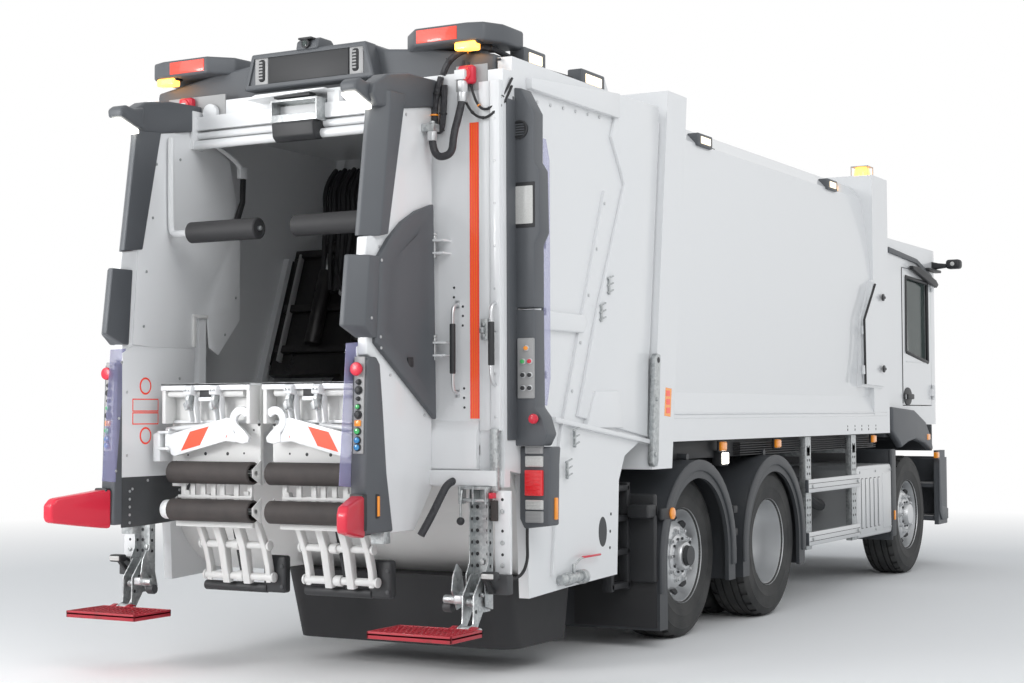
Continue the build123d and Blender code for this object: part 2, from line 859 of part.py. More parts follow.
with BuildPart() as packer_carriage:
    inner = gate_inside - guide_rail - 5
    across(guide_strip(packer_eye + 15, shoe_high + 30, -carriage_plate / 2, carriage_plate / 2), inner)
    both_plates(guide_strip(shoe_low, shoe_high, -shoe_half, shoe_half), inner - 1, gate_inside - seat_gap)
    lug = guide_strip(0, packer_eye + 16, -packer_eye, packer_eye)
    both_plates(lug, 500, 560)
    pivot = carriage_pivot
    both_rods((pivot[0], 500, pivot[1]), (pivot[0], 560, pivot[1]), packer_eye)
    both_rods((pivot[0], 435, pivot[1]), (pivot[0], 625, pivot[1]), packer_pin)
keep(packer_carriage, "packer_carriage")

with BuildPart() as packer_plate:
    half = blade_thickness / 2
    top = pivot[1] - packer_eye - 20
    block((pivot[0] - half, -inner, pivot[1] - blade_length), (pivot[0] + half, inner, top))
    for low, high in ((440, 495), (565, 620)):
        both((pivot[0] - half, low, top - 5), (pivot[0] + half, high, pivot[1]))
        both_rods((pivot[0], low, pivot[1]), (pivot[0], high, pivot[1]), packer_eye)
        both_rods(
            (pivot[0], low - 1, pivot[1]),
            (pivot[0], high + 1, pivot[1]),
            packer_pin + seat_gap,
            Mode.SUBTRACT,
        )
keep(packer_plate, "packer_plate")

beam_at = gate_rear - 30
shield_outer = mouth_half_width + shield_thickness
shield_knee, shield_heel = (-3060, 1790), (-3150, 830)
shield_top = 3045
UPPER_EDGE = [(-2751, shield_top), (-2970, shield_top), (-2975, 2930), (-3066, 2300), (-2915, 2318)]
LOWER_EDGE = [(-2994, 2201), (-3155, 2201), (-3200, 1850), (-3062, 1795), (-3022, 1795)]
edge_inner = mouth_half_width - 15
edge_chamfer = 75
SHIELD = [
    (gate_rear, 3140), (-2745, 3088), UPPER_EDGE[0], UPPER_EDGE[4], UPPER_EDGE[3], (-3075, 2240),
    LOWER_EDGE[1], LOWER_EDGE[0], LOWER_EDGE[4], LOWER_EDGE[3], shield_knee, shield_heel,
    (-2900, 830), (-2720, 810), (gate_rear, 1000),
]


def shield_edge(height, proud):
    """A point behind the lower part of a shield's rear edge."""
    lean = (shield_knee[0] - shield_heel[0]) / (shield_knee[1] - shield_heel[1])
    return (shield_heel[0] + lean * (height - shield_heel[1]) - proud, height)


with BuildPart() as portal:
    both_plates(SHIELD, mouth_half_width, shield_outer)
    block((beam_at - 30, -mouth_half_width - 1, 3030), (beam_at + 29, mouth_half_width + 1, 3108))
    for ahead, height, radius in ((beam_at - 5, 3000, 22), (beam_at - 30, 2945, 26)):
        rod((ahead, -mouth_half_width - 1, height), (ahead, mouth_half_width + 1, height), radius)
    block((beam_at - 110, -150, 2925), (beam_at - 10, 150, 3135))
    block((-2560, -shield_outer - 75, 2880), (-2500, 1 - shield_outer, 2930))
keep(portal, "portal")

cover_outer = shield_outer + cover_thickness
# a column's outline seen from behind, and the outline of the lamp box under it
COLUMN = [
    (column_inner, 3120), (1272, 3112), (column_outer, 2981), (column_outer, 2729), (1374, 2680),
    (1378, 2356), (column_outer, 2292), (column_outer, 1450), (1388, 1400), (column_flare, 1310),
    (1385, 1240), (column_inner, 1240),
]
LAMP_BOX = [
    (column_inner, 1241), (column_flare - 4, 1241), (1404, 1150), (1400, 838), (1250, 820),
    (column_inner, 870),
]
fairing_rear = gate_rear + 80
fairing_front = fairing_rear + 280
with BuildPart() as dark_covers:
    for outline in (UPPER_EDGE, LOWER_EDGE):
        both_plates(outline, edge_inner, cover_outer)
    corners = dark_covers.edges().filter_by(lambda edge: abs(edge.center().Y) > cover_outer - 1)
    rearmost = corners.filter_by(
        lambda edge: edge.center().X < along(-2960) and edge.center().Z > 1900 and edge.length > 100
    )
    chamfer(rearmost, edge_chamfer)
    for side in SIDES.values():
        plate(
            [LOWER_EDGE[0], (-2484, 2498), (gate_rear - 40, 1388), (-3022, 1768), LOWER_EDGE[4]],
            shield_outer, cover_outer, side,
        )
        plate(
            [shield_edge(1700, 0.1), shield_edge(1700, 30), shield_edge(1060, 30), shield_edge(1060, 0.1)],
            mouth_half_width + 5, shield_outer - 5, side,
        )
        hood = [
            (gate_rear, 3140), (-2990, 3050), (-3060, 3060), (-3050, 3110), (-2900, 3170),
            (gate_rear, 3195),
        ]
        plate(hood, mouth_half_width, shield_outer, side)
    both_uprights(COLUMN, column_rear, column_rear + column_depth)
    lamp_box_rear = column_rear + lamp_box_set
    both_uprights(LAMP_BOX, lamp_box_rear, lamp_box_rear + column_depth)
    both((gate_rear + 30, column_seat, 1280), (column_rear + 1, column_seat + 7, 3050))
    upright(
        [
            (-1140, gate_top), (1140, gate_top), (1140, 3300), (720, 3370), (440, 3400),
            (-440, 3400), (-720, 3370), (-1140, 3300),
        ],
        fairing_rear, fairing_front,
    )
    upright([(-440, 3235), (440, 3235), (385, 3435), (-385, 3435)], fairing_rear - 90, fairing_rear + 20)
    both((fairing_rear - 100, 700, 3362), (fairing_front - 20, 1120, 3462))
    block((fairing_rear - 100, -75, 3425), (fairing_rear + 120, 75, 3490))
keep(dark_covers, "dark_covers")

with BuildPart() as clear_flaps:
    flap_rear = column_rear + column_depth
    both((flap_rear, column_outer - 8, 1460), (flap_rear + 20, column_outer - 2, 2860))
    for side in SIDES.values():
        plate(
            [shield_edge(1780, -40), shield_edge(1780, 70), shield_edge(1060, 70), shield_edge(1060, -40)],
            mouth_half_width - 5, mouth_half_width - 0.1, side,
        )
keep(clear_flaps, "clear_flaps")

with BuildPart() as tail_lamps:
    lamp_face = column_rear + lamp_box_set
    both((lamp_face - 15, 1262, 850), (lamp_face, 1366, 1230))
    both((fairing_rear - 110, 715, 3378), (fairing_rear - 100, 965, 3448))
    both((fairing_rear - 96, 945, 3318), (fairing_rear - 30, 1070, 3362))
keep(tail_lamps, "tail_lamps")

with BuildPart() as paddles:
    tip = -rear_overhang
    outline = [shield_edge(1040, 0.2), shield_edge(835, 0.2), (tip, 870), (tip, 960), (tip + 50, 1020)]
    both_plates(outline, mouth_half_width + 10, mouth_half_width + 110)
keep(paddles, "paddles")

with BuildPart() as stop_rollers:
    behind, height = stop_roller
    both_rods((behind, 120, height), (behind, 590, height), roller_radius - 2)
    both_rods((behind, 585, height), (behind, mouth_half_width, height), 25)
keep(stop_rollers, "stop_rollers")

with BuildPart() as step_brackets:
    hinge_at, hinge_height = step_hinge
    both((gate_rear - 80, 1080, 1050), (gate_rear, 1200, 1110))
    both((gate_rear - 80, 1090, 400), (gate_rear - 20, 1150, 1110))
    both_plates(
        [
            (gate_rear - 20, 480), (gate_rear - 80, 480), (hinge_at, hinge_height + 25),
            (hinge_at, hinge_height - 25), (gate_rear - 20, 400),
        ],
        1090, 1150,
    )
    both_rods((hinge_at, 1090, hinge_height), (hinge_at, 1150, hinge_height), 25)
    both_rods((hinge_at, 1040, hinge_height), (hinge_at, 1200, hinge_height), step_pin)
keep(step_brackets, "step_brackets")

for side_name, side in SIDES.items():
    with BuildPart() as step:
        front = hinge_at - 35
        block(
            (front - step_length, side * step_inner, hinge_height - step_plate / 2),
            (front, side * step_outer, hinge_height + step_plate / 2),
        )
        for low, high in ((1045, 1085), (1155, 1195)):
            block(
                (front - 1, side * low, hinge_height - step_plate / 2),
                (hinge_at, side * high, hinge_height + step_plate / 2),
            )
            rod((hinge_at, side * low, hinge_height), (hinge_at, side * high, hinge_height), 22)
            rod(
                (hinge_at, side * (low - 1), hinge_height),
                (hinge_at, side * (high + 1), hinge_height),
                step_pin + seat_gap,
                Mode.SUBTRACT,
            )
    keep(step, f"step_{side_name}")

LIFT_ARM = [
    (lift_pivot[0], lift_pivot[1] + lift_eye),
    (lift_pivot[0], lift_pivot[1] - lift_eye),
    (lift_plate_at, 1300),
    (lift_plate_at, 1585),
]
FORK = [(-2790, 1000), (-2760, 1000), (-2595, 715), (-2560, 530), (-2600, 500), (-2640, 700)]
# across and up, from the pivot in to the hook
root = swing_pivot[1] - 28
SWING_BAR = [
    (swing_pivot[1], 1245), (swing_pivot[1], 1314), (root, 1314), (swing_pivot[1] - swing_length, 1450),
    (swing_pivot[1] - swing_length, 1390), (root, 1245),
]
for side_name, side in SIDES.items():
    with BuildPart() as lifter:
        block((lift_plate_at - 30, side * lift_inner, 950), (lift_plate_at, side * lift_outer, 1585))
        block((-2890, side * lift_inner, 1545), (lift_plate_at - 29, side * lift_outer, 1585))
        for number in range(5):
            middle = lift_inner + 60 + number * 120
            block((-2891, side * (middle - 25), 1544), (-2830, side * (middle + 25), 1586), Mode.SUBTRACT)
        for low in (lift_inner + 20, lift_outer - 20 - lift_arm):
            plate(LIFT_ARM, low, low + lift_arm, side)
            rod(
                (lift_pivot[0], side * low, lift_pivot[1]),
                (lift_pivot[0], side * (low + lift_arm), lift_pivot[1]),
                lift_eye,
            )
            rod(
                (lift_pivot[0], side * (low - 1), lift_pivot[1]),
                (lift_pivot[0], side * (low + lift_arm + 1), lift_pivot[1]),
                lift_pin + seat_gap,
                Mode.SUBTRACT,
            )
        for height in (910, 1120):
            rod((-2830, side * lift_inner, height), (-2830, side * 585, height), roller_radius)
        for low in (lift_inner, 575):
            block((-2830, side * low, 880), (lift_plate_at - 29, side * (low + 10), 1150))
        for low in (116, 516):
            plate(FORK, low, low + 34, side)
        for ahead, height in ((-2620, 715), (-2590, 540)):
            rod((ahead, side * 116, height), (ahead, side * 550, height), 22)
        block((-2562, side * 40, 450), (-2522, side * 590, 600))
        for low in (116, 516):
            block((-2590, side * low, 520), (-2561, side * (low + 34), 560))
        for base in (1228, 1316.5):
            block((swing_pivot[0] - 20, side * 590, base), (lift_plate_at - 29, side * 630, base + 15))
        rod(
            (swing_pivot[0], side * swing_pivot[1], 1230),
            (swing_pivot[0], side * swing_pivot[1], 1330),
            swing_pin,
        )
    keep(lifter, f"lifter_{side_name}")
    with BuildPart() as swing_arm:
        hinge_at, hinge_y = swing_pivot
        with BuildSketch(Plane.YZ.offset(along(hinge_at - 15))) as bar:
            Polygon(
                *[(side * y, z) for y, z in SWING_BAR],
                align=None,
            )
        extrude(bar.sketch, amount=30)
        rod((hinge_at, side * hinge_y, 1244), (hinge_at, side * hinge_y, 1315.5), 24)
        rod(
            (hinge_at, side * hinge_y, 1200),
            (hinge_at, side * hinge_y, 1360),
            swing_pin + seat_gap,
            Mode.SUBTRACT,
        )
    keep(swing_arm, f"swing_arm_{side_name}")


def hose(route, name):
    """A hose along runs joined by arcs as large as the runs allow. Its points are ahead, across and up."""
    points = [Vector(along(x), y, z) for x, y, z in route]
    radii = []
    for before, corner, after in zip(points, points[1:], points[2:]):
        runs = (corner - before).length, (after - corner).length
        turn = math.radians((corner - before).get_angle(after - corner))
        radii.append(0.45 * min(runs) / math.tan(turn / 2))
    with BuildPart() as tube:
        with BuildLine() as path:
            FilletPolyline(*points, radius=radii)
        with BuildSketch(Plane(origin=points[0], z_dir=points[1] - points[0])) as end:
            Circle(hose_radius)
        sweep(end.sketch, path=path.line)
    exact = math.pi * hose_radius**2 * sum(edge.length for edge in path.line.edges())
    print(name, "radii", [round(radius) for radius in radii], "volume", round(tube.part.volume / exact, 4))
    keep(tube, name)


# ahead of the trailing axle, across, up
hose(
    [
        (-2465, -1015, 3149.7), (-2465, -1015, 3060), (-2490, -1005, 2960), (-2520, -992, 2860),
        (-2530, -988, 2750), (-2530, -868, 2750), (-2530, -868, 2879.7),
    ],
    "hose_upper",
)
hose(
    [
        (gate_rear - 0.3, -960, 1075), (-2520, -960, 1075), (-2570, -935, 985), (-2600, -900, 890),
        (-2650, -870, 800),
    ],
    "hose_lower",
)

# ---------------------------------------------------------------- cab
CAB_SIDE = [
    (cab_nose, 1150), (cab_nose, 1750), (cab_nose - 130, 2780), (cab_nose - 320, cab_roof),
    (cab_back + 60, cab_roof), (cab_back, cab_roof - 80), (cab_back, cab_floor),
    (cab_nose - cab_wall, cab_floor), (cab_nose - cab_wall, 1150),
]
CAB_ROOM = [
    (cab_nose - cab_wall, cab_floor + cab_wall), (cab_nose - cab_wall, 1745), (cab_nose - 180, 2750),
    (cab_nose - 340, cab_roof - cab_wall), (cab_back + 80, cab_roof - cab_wall),
    (cab_back + cab_wall, cab_roof - 100), (cab_back + cab_wall, cab_floor + cab_wall),
]
cab_room_half = cab_half_width - cab_wall
door_front = door_back + door_length
door_hinges = (1560, 2560)  # the foot of each barrel


def cab_plan(inset):
    """The cab's plan with its rounded front corners, drawn inside its skin by an inset."""
    with BuildSketch(Plane.XY.offset(cab_floor - 300)) as plan:
        with Locations((along((cab_back + cab_nose) / 2), 0)):
            Rectangle(cab_nose - cab_back - 2 * inset, 2 * (cab_half_width - inset))
        fillet(plan.vertices().group_by(Axis.X)[-1], cab_corner - inset)
    return plan.sketch


with BuildPart() as cab_hollow:
    across(CAB_ROOM, cab_room_half)
    extrude(cab_plan(cab_wall), amount=cab_roof, mode=Mode.INTERSECT)
with BuildPart() as cab_shell:
    across(CAB_SIDE, cab_half_width)
    extrude(cab_plan(0), amount=cab_roof, mode=Mode.INTERSECT)
    add(cab_hollow.part, mode=Mode.SUBTRACT)
    block((cab_nose - 400, -screen_half, 1850), (cab_nose + 10, screen_half, 2680), Mode.SUBTRACT)
    both(
        (door_back, cab_room_half - 5, door_sill),
        (door_front, cab_half_width + 5, door_top),
        Mode.SUBTRACT,
    )
    pivot_at, pivot_height = cab_pivot
    arm_low, arm_high = cab_arm_middle - cab_arm_width / 2, cab_arm_middle + cab_arm_width / 2
    both((pivot_at - 30, arm_low, pivot_height), (pivot_at + 30, arm_high, cab_floor + 10))
    both_rods((pivot_at, arm_low, pivot_height), (pivot_at, arm_high, pivot_height), cab_eye)
    both_rods(
        (pivot_at, arm_low - 1, pivot_height),
        (pivot_at, arm_high + 1, pivot_height),
        cab_pin + seat_gap,
        Mode.SUBTRACT,
    )
    hinge_y = cab_half_width + hinge_stand
    for height in door_hinges:
        for low in (height - 32, height + hinge_barrel + 2):
            both((door_front + door_gap, cab_half_width - 1, low), (door_front + 30, hinge_y, low + 30))
            both_rods((door_front, hinge_y, low), (door_front, hinge_y, low + 30), hinge_radius)
            both((door_front, hinge_y - 8, low), (door_front + 20, hinge_y + 8, low + 30))
        pin_top = height + hinge_barrel + 30
        both_rods((door_front, hinge_y, height - 30), (door_front, hinge_y, pin_top), hinge_pin)
keep(cab_shell, "cab_shell")

pane_back, pane_front = door_back + 110, door_front - 120
pane_gap = 0.5
WINDOW = [(pane_back, 1950), (pane_front, 1870), (pane_front, 2600), (pane_back + 10, 2620)]
WINDOW_PANE = [
    (pane_back + pane_gap, 1950 + 2 * pane_gap), (pane_front - pane_gap, 1870 + 2 * pane_gap),
    (pane_front - pane_gap, 2600 - pane_gap), (pane_back + 10 + pane_gap, 2620 - pane_gap),
]
for side_name, side in SIDES.items():
    with BuildPart() as door:
        block(
            (door_back + door_gap, side * cab_room_half, door_sill + door_gap),
            (door_front - door_gap, side * cab_half_width, door_top - door_gap),
        )
        plate(WINDOW, cab_room_half - 1, cab_half_width + 1, side, Mode.SUBTRACT)
        for height in door_hinges:
            top = height + hinge_barrel
            block(
                (door_front - 60, side * (hinge_y - 8), height),
                (door_front, side * (hinge_y + 8), top),
            )
            block(
                (door_front - 60, side * (cab_half_width - 1), height),
                (door_front - 25, side * (hinge_y + 8), top),
            )
            rod((door_front, side * hinge_y, height), (door_front, side * hinge_y, top), hinge_radius)
            rod(
                (door_front, side * hinge_y, height - 1),
                (door_front, side * hinge_y, top + 1),
                hinge_pin + seat_gap,
                Mode.SUBTRACT,
            )
        block(
            (door_back + 60, side * cab_half_width, 1530),
            (door_back + 240, side * (cab_half_width + 30), 1570),
        )
    keep(door, f"door_{side_name}")
    with BuildPart() as pane:
        middle = cab_half_width - cab_wall / 2
        plate(WINDOW_PANE, middle - glass_thickness / 2, middle + glass_thickness / 2, side)
    keep(pane, f"door_glass_{side_name}")

with BuildPart() as windscreen:
    lean = 130 / (2780 - 1750)
    low, high = 1850.5, 2679.5
    front_low = cab_nose - 20 - (low - 1750) * lean
    front_high = cab_nose - 20 - (high - 1750) * lean
    across(
        [
            (front_low, low), (front_high, high),
            (front_high - glass_thickness, high), (front_low - glass_thickness, low),
        ],
        screen_half - 0.5,
    )
keep(windscreen, "windscreen")

with BuildPart() as cab_interior:
    deck = cab_floor + cab_wall
    seat_back = cab_nose - 1500
    dash_back = cab_nose - 450
    dash_half = cab_room_half - 150
    for side in SIDES.values():
        block((seat_back + 100, side * 300, deck), (seat_back + 550, side * 820, deck + 380))
        block((seat_back, side * 300, deck + 200), (seat_back + 140, side * 820, deck + 1050))
    block((dash_back, -dash_half, deck), (dash_back + 300, dash_half, deck + 350))
    rod((dash_back - 50, 550, deck + 300), (dash_back - 290, 550, deck + 560), 30)
    rod((dash_back - 275, 550, deck + 545), (dash_back - 295, 550, deck + 566), 220)
    block((dash_back - 70, 500, deck), (dash_back + 10, 600, deck + 330))
    block((seat_back + 100, -290, deck), (dash_back + 1, 290, deck + 60))
keep(cab_interior, "cab_interior")

camera_at = cab_nose - 440
camera_height = cab_roof - 160
with BuildPart() as cab_trim:
    arch_back, arch_front = front_at - 330, front_at + 420
    outline = [
        (cab_back + 10, 1245), (cab_back + 10, fender_top), (front_at + 85, fender_top - 30),
        (front_at + 420, 1330), (front_at + 600, 1180), (front_at + 660, 1070), (front_at + 600, 1065),
        (front_at + 396, fender_bottom + 15), (front_at + 107, fender_bottom + 57),
        (front_at - 100, fender_bottom + 40), (arch_back, fender_bottom - 10), (arch_back - 60, 1150),
    ]
    both_plates(outline, cab_half_width, fender_outer)
    both((arch_back, 900, fender_bottom + 57), (arch_front, cab_half_width + 1, fender_bottom + 87))
    both((arch_back, 1100, fender_bottom + 60), (arch_front, cab_half_width + 1, cab_floor))
    # camera arms at the roof's edge
    both(
        (camera_at, cab_half_width, camera_height),
        (camera_at + 70, cab_half_width + 250, camera_height + 30),
    )
    both(
        (camera_at - 20, cab_half_width + 140, camera_height - 20),
        (camera_at + 90, cab_half_width + 270, camera_height + 70),
    )
    both(
        (camera_at - 260, cab_half_width, camera_height - 45),
        (camera_at + 140, cab_half_width + 60, camera_height - 20),
    )
keep(cab_trim, "cab_trim")
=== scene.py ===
import math

import bpy
from mathutils import Matrix, Vector


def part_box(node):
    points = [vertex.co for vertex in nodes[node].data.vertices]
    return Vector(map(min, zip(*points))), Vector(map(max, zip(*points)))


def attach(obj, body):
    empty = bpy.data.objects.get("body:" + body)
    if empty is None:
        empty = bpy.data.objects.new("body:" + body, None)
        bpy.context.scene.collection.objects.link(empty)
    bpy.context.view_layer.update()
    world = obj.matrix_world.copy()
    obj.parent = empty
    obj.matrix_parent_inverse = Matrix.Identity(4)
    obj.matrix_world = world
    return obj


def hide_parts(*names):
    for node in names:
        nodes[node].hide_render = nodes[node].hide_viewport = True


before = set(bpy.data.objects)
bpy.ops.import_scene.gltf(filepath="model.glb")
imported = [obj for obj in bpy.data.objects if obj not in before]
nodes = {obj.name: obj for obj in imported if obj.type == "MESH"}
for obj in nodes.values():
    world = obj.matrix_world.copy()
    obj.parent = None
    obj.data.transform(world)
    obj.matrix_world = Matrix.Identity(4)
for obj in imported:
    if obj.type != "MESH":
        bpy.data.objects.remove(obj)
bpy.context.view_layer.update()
trailingX = sum(corner.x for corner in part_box("rim_trailing_right")) / 2
sides = {"right": -1, "left": 1}

# distances along the truck are metres ahead of the trailing axle; fit() moves a finished piece to the frame
print("frame loaded")


# ---- camera
camera = {"ahead": -10.168, "side": -5.597, "height": 1.422, "heading": 29.139, "rise": 2.350, "roll": -0.227,
    "lens": 61.0}


def aimCamera():
    bpy.ops.object.camera_add()
    view = bpy.context.object
    view.name = "photoCamera"
    view.data.lens = camera["lens"]
    view.data.sensor_width = 36
    view.data.clip_end = 200
    turn = Matrix.Rotation(math.radians(camera["heading"] - 90), 4, "Z")
    tilt = Matrix.Rotation(math.radians(90 + camera["rise"]), 4, "X")
    roll = Matrix.Rotation(math.radians(camera["roll"]), 4, "Z")
    place = Matrix.Translation((camera["ahead"] + trailingX, camera["side"], camera["height"]))
    view.matrix_world = place @ turn @ tilt @ roll
    bpy.context.scene.camera = view


aimCamera()
bpy.context.scene.view_settings.view_transform = "Standard"


# ---- finishes
class Wire:  # a socket whose value takes part in sums
    def __init__(self, finish, socket):
        self.finish, self.socket = finish, socket

    def sum(self, operation, first, second):
        return self.finish.add("ShaderNodeMath", {"operation": operation}, {0: first, 1: second})

    def __add__(self, other):
        return self.sum("ADD", self, other)

    def __sub__(self, other):
        return self.sum("SUBTRACT", self, other)

    def __rsub__(self, other):
        return self.sum("SUBTRACT", other, self)

    def __mul__(self, other):
        return self.sum("MULTIPLY", self, other)

    def __gt__(self, other):
        return self.sum("GREATER_THAN", self, other)

    __radd__, __rmul__ = __add__, __mul__


class Finish:  # a material, and the nodes that it is made of
    def __init__(self, name, **values):
        self.material = bpy.data.materials.new(name)
        self.material.use_nodes = True
        self.tree = self.material.node_tree
        self.shader = next(node for node in self.tree.nodes if node.type == "BSDF_PRINCIPLED")
        for socket, value in values.items():
            self.put(self.shader.inputs[socket.replace("_", " ")], value)
        self.place = self.add("ShaderNodeTexCoord", output="Object")

    def put(self, socket, value):
        if isinstance(value, Wire):
            self.tree.links.new(value.socket, socket)
        else:
            socket.default_value = value

    def add(self, kind, settings=None, inputs=None, output=0):
        node = self.tree.nodes.new(kind)
        for setting, value in (settings or {}).items():
            if setting == "stops":
                ramp = node.color_ramp.elements
                for element, (position, shade) in zip(ramp, value):
                    element.position, element.color = position, shade
                for position, shade in value[2:]:
                    ramp.new(position).color = shade
            else:
                setattr(node, setting, value)
        for socket, value in (inputs or {}).items():
            self.put(node.inputs[socket], value)
        return Wire(self, node.outputs[output])

    def noise(self, scale, detail=3.0):
        return self.add("ShaderNodeTexNoise", None, {"Vector": self.place, "Scale": scale, "Detail": detail})

    def stretched(self, scale, stretch, detail=3.0):  # noise drawn out along an axis
        spot = self.add("ShaderNodeMapping", None, {"Vector": self.place, "Scale": stretch})
        return self.add("ShaderNodeTexNoise", None, {"Vector": spot, "Scale": scale, "Detail": detail})

    def axes(self):
        split = self.tree.nodes.new("ShaderNodeSeparateXYZ")
        self.tree.links.new(self.place.socket, split.inputs[0])
        return [Wire(self, socket) for socket in split.outputs]

    def step(self, value, low, high):
        inputs = {"Value": value, "From Min": low, "From Max": high}
        return self.add("ShaderNodeMapRange", {"clamp": True}, inputs)

    def mix(self, share, first, second):
        return self.add("ShaderNodeMix", {"data_type": "RGBA"}, {0: share, 6: first, 7: second}, 2)

    def colour(self, value):
        self.put(self.shader.inputs["Base Color"], value)

    def rough(self, value):
        self.put(self.shader.inputs["Roughness"], value)

    def bump(self, height, depth, strength=1.0):
        bent = self.add("ShaderNodeBump", None, {"Height": height, "Distance": depth, "Strength": strength})
        self.put(self.shader.inputs["Normal"], bent)


def shade(red, green, blue):
    return (red, green, blue, 1.0)


def paintFinish(name, look):  # glossy vehicle paint with the faintest film of dust low down
    finish = Finish(name, Coat_Weight=look["coat"], Coat_Roughness=0.06, Metallic=look.get("metallic", 0.0))
    film = finish.stretched(1.3, (1, 1, 0.35), 5) * finish.step(finish.axes()[2], look["filmTop"],
        look["filmBottom"])
    finish.colour(finish.mix(film * look["film"], shade(*look["colour"]), shade(*look["dust"])))
    finish.rough(finish.noise(9.0) * 0.08 + look["rough"])
    finish.bump(finish.noise(look["peel"], 2.0), look["peelDepth"])
    return finish.material


def moulded(name, look):  # moulded plastic, rubber or cast metal with a fine grain
    finish = Finish(name, Metallic=look.get("metallic", 0.0), Coat_Weight=look.get("coat", 0.0))
    finish.shader.inputs["Specular IOR Level"].default_value = look.get("shine", 0.5)
    patch = finish.noise(look["patch"], 4.0)
    finish.colour(finish.mix(patch, shade(*look["colour"]), shade(*look["second"])))
    finish.rough(patch * look["spread"] + look["rough"])
    finish.bump(finish.noise(look["grain"], 2.0), look["depth"])
    return finish.material


def lampFinish(name, colour, glow, strength, rough=0.15):
    finish = Finish(name, Roughness=rough, Coat_Weight=0.6)
    ribs = finish.noise(120.0, 1.0)
    finish.colour(finish.mix(ribs, shade(*colour), shade(*[part * 0.75 for part in colour])))
    finish.bump(ribs, 0.0008)
    finish.shader.inputs["Emission Color"].default_value = shade(*glow)
    finish.shader.inputs["Emission Strength"].default_value = strength
    return finish.material


def zincFinish():
    finish = Finish("zinc", Metallic=0.85)
    inputs = {"Vector": finish.place, "Scale": 70.0}
    spangle = finish.add("ShaderNodeTexVoronoi", {"feature": "F1"}, inputs, "Color")
    grey = finish.add("ShaderNodeRGBToBW", None, {0: spangle})
    finish.colour(finish.mix(grey, shade(0.36, 0.38, 0.39), shade(0.60, 0.62, 0.62)))
    finish.rough(grey * 0.2 + 0.32)
    finish.bump(finish.noise(40.0), 0.0006)
    return finish.material


def glassFinish(name, tint, alpha):
    finish = Finish(name, Roughness=0.03, Alpha=alpha, Coat_Weight=0.0)
    finish.colour(finish.mix(finish.noise(3.0), shade(*tint), shade(*[part * 0.8 for part in tint])))
    return finish.material


def stripeFinish():  # red and white warning stripes that lean
    finish = Finish("warningStripes", Roughness=0.35, Coat_Weight=0.3)
    ahead, across, up = finish.axes()
    apart = finish.add("ShaderNodeMath", {"operation": "ABSOLUTE"}, {0: across})
    turn = (apart + up * 0.6) * 3.861 + 9.61
    part = finish.add("ShaderNodeMath", {"operation": "FRACT"}, {0: turn})
    weave = finish.noise(300.0, 1.0)
    red = finish.mix(weave, shade(0.85, 0.10, 0.03), shade(0.70, 0.06, 0.02))
    white = finish.mix(weave, shade(0.86, 0.86, 0.86), shade(0.74, 0.75, 0.77))
    finish.colour(finish.mix(part > 0.432, red, white))
    finish.bump(weave, 0.0004)
    return finish.material


def gratingFinish():
    finish = Finish("redGrating", Roughness=0.5, Coat_Weight=0.1)
    wear = finish.noise(14.0, 5.0)
    worn = finish.step(wear, 0.55, 0.75)
    finish.colour(finish.mix(worn, shade(0.42, 0.02, 0.035), shade(0.20, 0.03, 0.03)))
    finish.bump(finish.noise(160.0), 0.002)
    return finish.material


def sleeveFinish():  # a wrapped hose sleeve with lumps
    finish = Finish("wrappedSleeve", Roughness=0.55)
    lumps = finish.noise(38.0, 4.0)
    finish.colour(finish.mix(lumps, shade(0.012, 0.012, 0.015), shade(0.050, 0.050, 0.056)))
    finish.rough(lumps * 0.3 + 0.35)
    finish.bump(lumps, 0.012)
    return finish.material


def tyreFinish():
    finish = Finish("tyreRubber", Roughness=0.75)
    dust = finish.noise(6.0, 6.0)
    finish.colour(finish.mix(finish.step(dust, 0.35, 0.8), shade(0.020, 0.021, 0.022),
        shade(0.065, 0.064, 0.062)))
    finish.rough(dust * 0.2 + 0.62)
    finish.bump(finish.noise(260.0, 2.0), 0.0006)
    return finish.material


